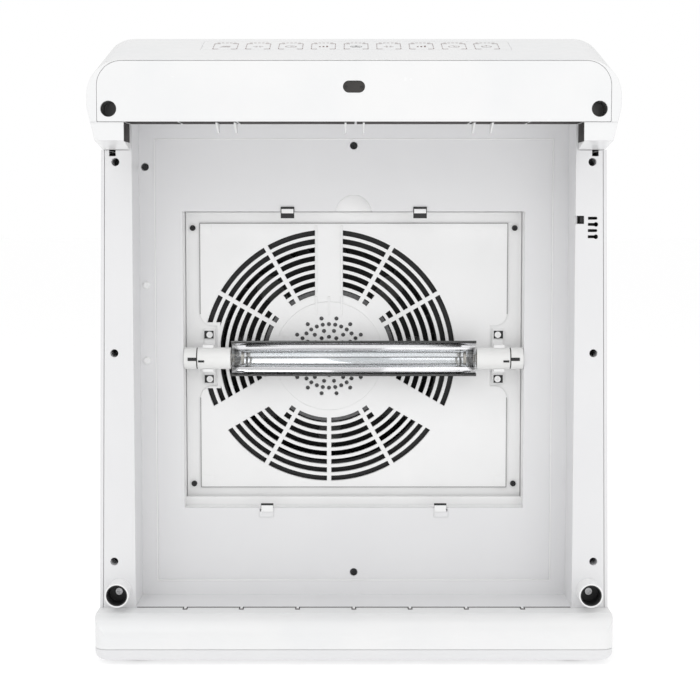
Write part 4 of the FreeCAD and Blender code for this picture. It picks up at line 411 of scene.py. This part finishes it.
def ink_ring(across, up, radius, line):
    """One printed ring."""
    put_down()
    bpy.ops.mesh.primitive_circle_add(vertices=28, radius=radius, fill_type="NGON",
                                      location=on_panel(across, up), rotation=(PANEL_TURN, 0.0, 0.0))
    disc = bpy.context.object
    bpy.ops.object.mode_set(mode="EDIT")
    bpy.ops.mesh.select_all(action="SELECT")
    bpy.ops.mesh.inset(thickness=line)
    bpy.ops.mesh.delete(type="FACE")
    bpy.ops.object.mode_set(mode="OBJECT")
    apply_place(disc)
    return disc


def key_frame(middle):
    """Corner brackets and side dashes round one key, with a dashed line above it."""
    half, front, rear, line, thick, leg = 0.0105, 0.0040, 0.0335, 0.0008, 0.0018, 0.0050
    bars = []
    for side in (-1, 1):
        for up, inward in ((front, 1), (rear, -1)):
            bars.append(ink_bar(middle + side * half, up + inward * leg / 2, line, leg))
            bars.append(ink_bar(middle + side * (half - leg / 2), up, leg, thick))
        for share in (0.34, 0.5, 0.66):
            bars.append(ink_bar(middle + side * half, front + (rear - front) * share, line, leg / 2))
    for step in range(-2, 3):
        bars.append(ink_bar(middle + step * 0.0036, rear + 0.0048, 0.0024, thick))
    return bars


def fan_sign(middle, up):
    """Three petals in a ring."""
    reach = 0.0024
    petals = [ink_bar(middle + reach * math.cos(a), up + reach * math.sin(a), 0.0036, 0.0016, a)
              for a in (math.radians(90.0), math.radians(210.0), math.radians(330.0))]
    return petals + [ink_ring(middle, up, 0.0052, 0.0005)]


def level_sign(middle, up):
    """Three rising bars."""
    return [ink_bar(middle + (step - 1) * 0.0032, up + (step - 1) * 0.0008, 0.0016, 0.0045 + step * 0.0016)
            for step in range(3)]


def clock_sign(middle, up):
    """A ring with two hands."""
    return [ink_ring(middle, up, 0.0050, 0.0006), ink_bar(middle, up + 0.0016, 0.0006, 0.0032),
            ink_bar(middle + 0.0012, up, 0.0024, 0.0006)]


def power_sign(middle, up):
    """A ring with a bar from its top."""
    return [ink_ring(middle, up, 0.0046, 0.0007), ink_bar(middle, up + 0.0040, 0.0009, 0.0046)]


def waves_sign(middle, up):
    """Three lines, one above the other."""
    return [ink_bar(middle + (step - 1) * 0.0006, up + (step - 1) * 0.0028, 0.0092 - step * 0.0012, 0.0009)
            for step in range(3)]


def star_sign(middle, up):
    """Six short rays."""
    reach = 0.0030
    return [ink_bar(middle + reach * math.cos(a), up + reach * math.sin(a), 0.0032, 0.0006, a)
            for a in (math.radians(60.0 * step) for step in range(6))]


def key_marks():
    """The nine keys' printed frames and signs; the middle key's fan is darker."""
    signs = (waves_sign, star_sign, clock_sign, level_sign, None, star_sign, level_sign, clock_sign,
             power_sign)
    marks = []
    for index, sign in enumerate(signs):
        middle = (index - len(signs) // 2) * KEY_PITCH
        marks += key_frame(middle)
        if sign:
            marks += sign(middle, SIGN_UP)
    settle(join("key_marks", marks), "key_ink_warm")
    settle(join("middle_key_sign", fan_sign(0.0, SIGN_UP)), "key_ink_dark")


# ---------------------------------------------------------------- lamp details

LAMP_LOW, LAMP_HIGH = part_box("lamp_glass")
LAMP_Y = (LAMP_LOW.y + LAMP_HIGH.y) / 2
LAMP_Z = (LAMP_LOW.z + LAMP_HIGH.z) / 2


def mirror_trough():
    """The lamp's mirror: one sheet folded along its length, with rolled lips and a crease at its middle,
    where a darker metal is a painted dark reflection.
    """
    low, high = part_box("lamp_reflector")
    # Millimetres to the back and up, from the upper lip to the crease; the lower half is its mirror image.
    half = [(-14.6, 16.2), (-15.4, 14.9), (-14.2, 13.9), (-12.4, 14.6), (-9.4, 13.6), (-6.2, 12.0),
            (-3.4, 9.9), (-1.2, 7.3), (0.3, 4.4), (1.1, 1.5), (1.3, 0.55), (1.75, 0.0)]
    middle_y, lip_reach, crease_reach = low.y + 0.0140, 0.0128, 0.0006
    line = [(middle_y + y / 1000, LAMP_Z + z / 1000) for y, z in half]
    line += [(y, 2 * LAMP_Z - z) for y, z in reversed(line[:-1])]
    (y0, z0), (y1, z1) = line[:2]
    put_down()
    bpy.ops.mesh.primitive_plane_add(size=1.0, location=(0.0, (y0 + y1) / 2, (z0 + z1) / 2))
    sheet = bpy.context.object
    sheet.scale = (high.x - low.x, math.hypot(y1 - y0, z1 - z0), 1.0)
    sheet.rotation_euler = (math.atan2(z1 - z0, y1 - y0), 0.0, 0.0)
    apply_place(sheet)
    pick(sheet, "VERT", lambda point: math.hypot(point.co.y - y1, point.co.z - z1) < 0.0002)
    for (from_y, from_z), (to_y, to_z) in zip(line[1:], line[2:]):
        step = (0.0, to_y - from_y, to_z - from_z)
        bpy.ops.mesh.extrude_region_move(TRANSFORM_OT_translate={"value": step})
    bpy.ops.mesh.select_all(action="SELECT")
    bpy.ops.mesh.normals_make_consistent(inside=False)
    bpy.ops.object.mode_set(mode="OBJECT")
    work(sheet, "SOLIDIFY", thickness=0.0004, offset=0.0)
    work(sheet, "BEVEL", width=0.0002, segments=2, limit_method="ANGLE", angle_limit=math.radians(70.0))
    trough = join("mirror_trough", [sheet])
    settle(trough, "reflector_mirror", 28.0)
    # The lips and the crease take the darker metal, a painted dark reflection.
    trough.data.materials.append(FINISHES["reflector_painted_dark_reflection"][0])
    for face in trough.data.polygons:
        away = abs(face.center.z - LAMP_Z)
        if away > lip_reach or away < crease_reach:
            face.material_index = 1
    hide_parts("lamp_reflector")


def tube_ends():
    """Inside each end of the tube, a shield ring and the ring of the glass mount."""
    rings = []
    for side in (-1, 1):
        rings.append(band((side * 0.1015, LAMP_Y, LAMP_Z), 0.0062, 0.0022, 0.0003))
        rings.append(band((side * 0.1135, LAMP_Y, LAMP_Z), 0.0068, 0.0030, 0.0004))
    settle(join("tube_shields", rings), "filament_wire")


def sleeve_gaps():
    """A black ring of painted shade in the gap between each sleeve and its boot."""
    rings = [band((side * 0.14290, LAMP_Y, LAMP_Z), 0.00968, 0.00125, 0.0012) for side in (-1, 1)]
    settle(join("sleeve_gap_painted_shade", rings), "black_moulding_and_painted_shade")


def lead_slot_painted_shade():
    """Black tiles of painted shade in the mouths where the leads enter the boots and the sleeves."""
    face = LAMP_Y - 0.00975
    slots = []
    for side in (-1, 1):
        slots.append(tile((side * 0.1470, face, LAMP_Z - 0.0002), (0.0082, 0.0012, 0.0030), 0.0004))
        slots.append(tile((side * 0.1388, face, LAMP_Z - 0.0021), (0.0055, 0.0012, 0.0019), 0.0004))
    settle(join("lead_slot_painted_shade", slots), "black_moulding_and_painted_shade")


def pocket_rim(x, y, z):
    """The thin raised rim of one pocket: a slab opened at its front and its back."""
    wall = 0.0003
    rim = tile((x, y, z), (0.0100, 0.0008, 0.0086), 0.0007)
    pick(rim, "FACE", lambda face: face.normal.y < -0.99)
    bpy.ops.mesh.inset(thickness=wall)
    bpy.ops.mesh.delete(type="FACE")
    bpy.ops.object.mode_set(mode="OBJECT")
    pick(rim, "FACE", lambda face: face.normal.y > 0.99)
    bpy.ops.mesh.delete(type="FACE")
    bpy.ops.object.mode_set(mode="OBJECT")
    work(rim, "SOLIDIFY", thickness=wall, offset=-1.0)
    return rim


def holder_pockets():
    """A sunk pocket round each holder screw: its floor, black as painted shade, and its raised rim."""
    rims, floors = [], []
    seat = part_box("holder_screws")[0].y + 0.0022
    for side in (-1, 1):
        for end in (-1, 1):
            x, z = side * 0.1335, LAMP_Z + end * 0.0205
            floors.append(tile((x, seat - 0.0001, z), (0.0094, 0.0004, 0.0080), 0.0010))
            rims.append(pocket_rim(x, seat - 0.0003, z))
    settle(join("holder_pocket_painted_shade", floors), "black_moulding_and_painted_shade")
    settle(join("holder_pocket_rims", rims), "guard_satin_painted_light")


# ---------------------------------------------------------------- shadow gaps of the head

def head_painted_shade():
    """Dark strips of painted shade under the head's face, between its teeth, and on the inner faces of its
    legs.
    """
    inner, outer, tooth = 0.1005, 0.1505, 0.0020
    spans = [(-0.1938, -outer), (-outer + tooth, -inner), (-inner + tooth, 0.0005),
             (0.0025, inner - tooth), (inner, outer - tooth), (outer, 0.1938)]
    strips = [tile(((start + end) / 2, -0.0935, 0.46935), (end - start, 0.0380, 0.0005), 0.0002)
              for start, end in spans]
    settle(join("underside_painted_shade", strips), "painted_shade_dark")
    sides = []
    for side in (-1, 1):
        pad = tile((side * 0.19555, -0.0935, 0.4610), (0.0004, 0.0370, 0.0160), 0.0001)
        points = pad.data.vertices
        pick(pad, "EDGE", lambda edge: all(points[i].co.z < 0.4535 and points[i].co.y < -0.1118
                                           for i in edge.vertices)
             and abs(points[edge.vertices[0]].co.x - points[edge.vertices[1]].co.x) > 0.0001)
        bpy.ops.mesh.bevel(offset=0.006, segments=6, affect="EDGES")
        bpy.ops.object.mode_set(mode="OBJECT")
        sides.append(pad)
    settle(join("leg_painted_shade", sides), "painted_shade_dark")


# ---------------------------------------------------------------- hooks and snaps of the front cover

WALL_FRONT = -0.0188
FLOOR_TOP = 0.0417


def cover_hooks():
    """The wall's four hook mouths for the cover, drawn as black plates of painted shade, each with its pale
    tongue.
    """
    high_x, low_x = 0.0600, 0.0793
    mouths, tongues, blanks = [], [], []
    for side in (-1, 1):
        mouths.append(tile((side * high_x, WALL_FRONT - 0.00015, 0.3922), (0.01226, 0.0003, 0.0104),
                           0.0001, steps=1))
        tongues.append(tile((side * high_x, WALL_FRONT - 0.0007, 0.39345), (0.0109, 0.0010, 0.0039), 0.0003))
        tongues.append(tile((side * low_x, WALL_FRONT - 0.0006, 0.1216), (0.0110, 0.0012, 0.0060), 0.0003))
        blanks.append(tile((side * 0.0800, WALL_FRONT + 0.0002, 0.1163), (0.0130, 0.0008, 0.0050),
                           0.00005, steps=1))
        mouths.append(tile((side * low_x, WALL_FRONT - 0.0003, 0.12555), (0.0114, 0.0006, 0.0019),
                           0.0002, steps=1))
        for edge in (-1, 1):
            mouths.append(tile((side * low_x + edge * 0.0055, WALL_FRONT - 0.0003, 0.1238),
                               (0.0005, 0.0006, 0.0030), 0.0001, steps=1))
    settle(join("hook_mouth_painted_shade", mouths), "black_moulding_and_painted_shade")
    settle(join("hook_tongues", tongues), "guard_satin_painted_light")
    settle(join("hook_blanks", blanks), "body_satin")


def wall_bead():
    """The raised bead round the recess wall, along its step."""
    right, low, high, wide, face = 0.1800, 0.0555, 0.4582, 0.0012, -0.0206
    sides = [tile((side * right, face, (low + high) / 2), (wide, 0.0006, high - low + wide), 0.0002)
             for side in (-1, 1)]
    rails = [tile((0.0, face, level), (2 * right - wide, 0.0006, wide), 0.0002) for level in (low, high)]
    settle(join("wall_bead", sides + rails), "guard_satin_painted_light")


def guard_edge():
    """The guard's raised plate ends in square corners, with a narrow gap round it, open beside the lamp;
    grey bars in the gap are painted shade.
    """
    half, low, high, face, corner, gap, deep = 0.1415, 0.1378, 0.3822, 0.0050, 0.0110, 0.0007, 0.0016
    pocket_low, pocket_high = 0.2320, 0.2880
    corners = [tile((side * (half - corner / 2), face + 0.0007, level), (corner, deep, corner), 0.0002)
               for side in (-1, 1) for level in (low + corner / 2, high - corner / 2)]
    line = face + 0.0006
    bars = [tile((side * half, line, (start + end) / 2), (gap, deep, end - start + gap), 0.0001, steps=1)
            for side in (-1, 1)
            for start, end in ((low, pocket_low - corner), (pocket_high + corner, high))]
    bars += [tile((0.0, line, level), (2 * half, deep, gap), 0.0001, steps=1) for level in (low, high)]
    settle(join("guard_corners", corners), "guard_satin_painted_light")
    settle(join("guard_edge_gap_painted_shade", bars), "painted_shade_grey")


def cover_snaps():
    """Seven small snap marks along the recess floor, and the fine seam along their back ends, as dark strips
    of painted shade.
    """
    pitch = 0.04992
    marks, pegs = [], []
    for step in range(-3, 4):
        across = step * pitch
        marks.append(tile((across, -0.0767, FLOOR_TOP + 0.0002), (0.0042, 0.0088, 0.0004), 0.0001, steps=1))
        pegs.append(tile((across, -0.0758, FLOOR_TOP + 0.0004), (0.0022, 0.0066, 0.0006), 0.0002))
    marks.append(tile((0.0, -0.0727, FLOOR_TOP + 0.0003), (0.3860, 0.0003, 0.0006), 0.0001, steps=1))
    # Dark strips of painted shade for the marks and the seam.
    settle(join("snap_gap_painted_shade", marks), "painted_shade_dark")
    settle(join("snap_pegs", pegs), "guard_satin_painted_light")


key_marks()
mirror_trough()
cover_hooks()
cover_snaps()
wall_bead()
guard_edge()
tube_ends()
sleeve_gaps()
lead_slot_painted_shade()
holder_pockets()
head_painted_shade()


# ---------------------------------------------------------------- floor, light and camera

def paper_floor():
    """A pale paper floor that gives back a little light of its own."""
    put_down()
    bpy.ops.mesh.primitive_plane_add(size=40.0, location=(0.0, 0.0, -0.0005))
    floor = bpy.context.object
    floor.name = "floor"
    finish, nodes, links, shader, place = start_finish("floor_paper")
    paper = speckle(nodes, links, place, 60.0, 3.0)
    links.new(shade_between(nodes, links, paper, (0.68, 0.68, 0.68), (0.70, 0.70, 0.70)),
              shader.inputs["Base Color"])
    links.new(spread(nodes, links, paper, 0.8, 0.95), shader.inputs["Roughness"])
    shader.inputs["Emission Color"].default_value = (1.0, 1.0, 1.0, 1.0)
    shader.inputs["Emission Strength"].default_value = 0.42
    floor.data.materials.append(finish)


def studio_air():
    """Even white light from all round, a little brighter to look at than to be lit by."""
    world = bpy.data.worlds.new("studio_air")
    world.use_nodes = True
    air = world.node_tree.nodes
    seen = air.new("ShaderNodeLightPath")
    strength = air.new("ShaderNodeMapRange")
    strength.inputs["To Min"].default_value = 0.80
    strength.inputs["To Max"].default_value = 1.0
    world.node_tree.links.new(seen.outputs["Is Camera Ray"], strength.inputs["Value"])
    world.node_tree.links.new(strength.outputs["Result"], air["Background"].inputs["Strength"])
    air["Background"].inputs["Color"].default_value = (1.0, 1.0, 1.0, 1.0)
    bpy.context.scene.world = world


def soft_boxes():
    """One large soft box high on the left, one low on the right and one overhead."""
    for name, spot, turn, size, power in (
        ("soft_box_high", (-0.9, -2.0, 2.2), (52.0, 0.0, -24.0), 1.6, 8.5),
        ("soft_box_front", (1.3, -2.4, 0.9), (82.0, 0.0, 28.0), 1.8, 5.5),
        ("soft_box_top", (0.0, -0.5, 2.4), (12.0, 0.0, 0.0), 1.6, 5.0),
    ):
        bpy.ops.object.light_add(type="AREA", location=spot, rotation=[math.radians(a) for a in turn])
        box = bpy.context.object
        box.name = name
        box.data.size = size
        box.data.energy = power


def front_camera():
    """The camera stands in front, a little above the middle, and looks slightly down."""
    down = 4.606
    bpy.ops.object.camera_add(location=(-0.0034, -1.6525, 0.399),
                              rotation=(math.radians(90.0 - down), 0.0, 0.0))
    camera = bpy.context.object
    camera.data.sensor_width = 36.0
    camera.data.lens = 92.57
    bpy.context.scene.camera = camera


paper_floor()
studio_air()
soft_boxes()
front_camera()
bpy.context.scene.view_settings.view_transform = "Standard"
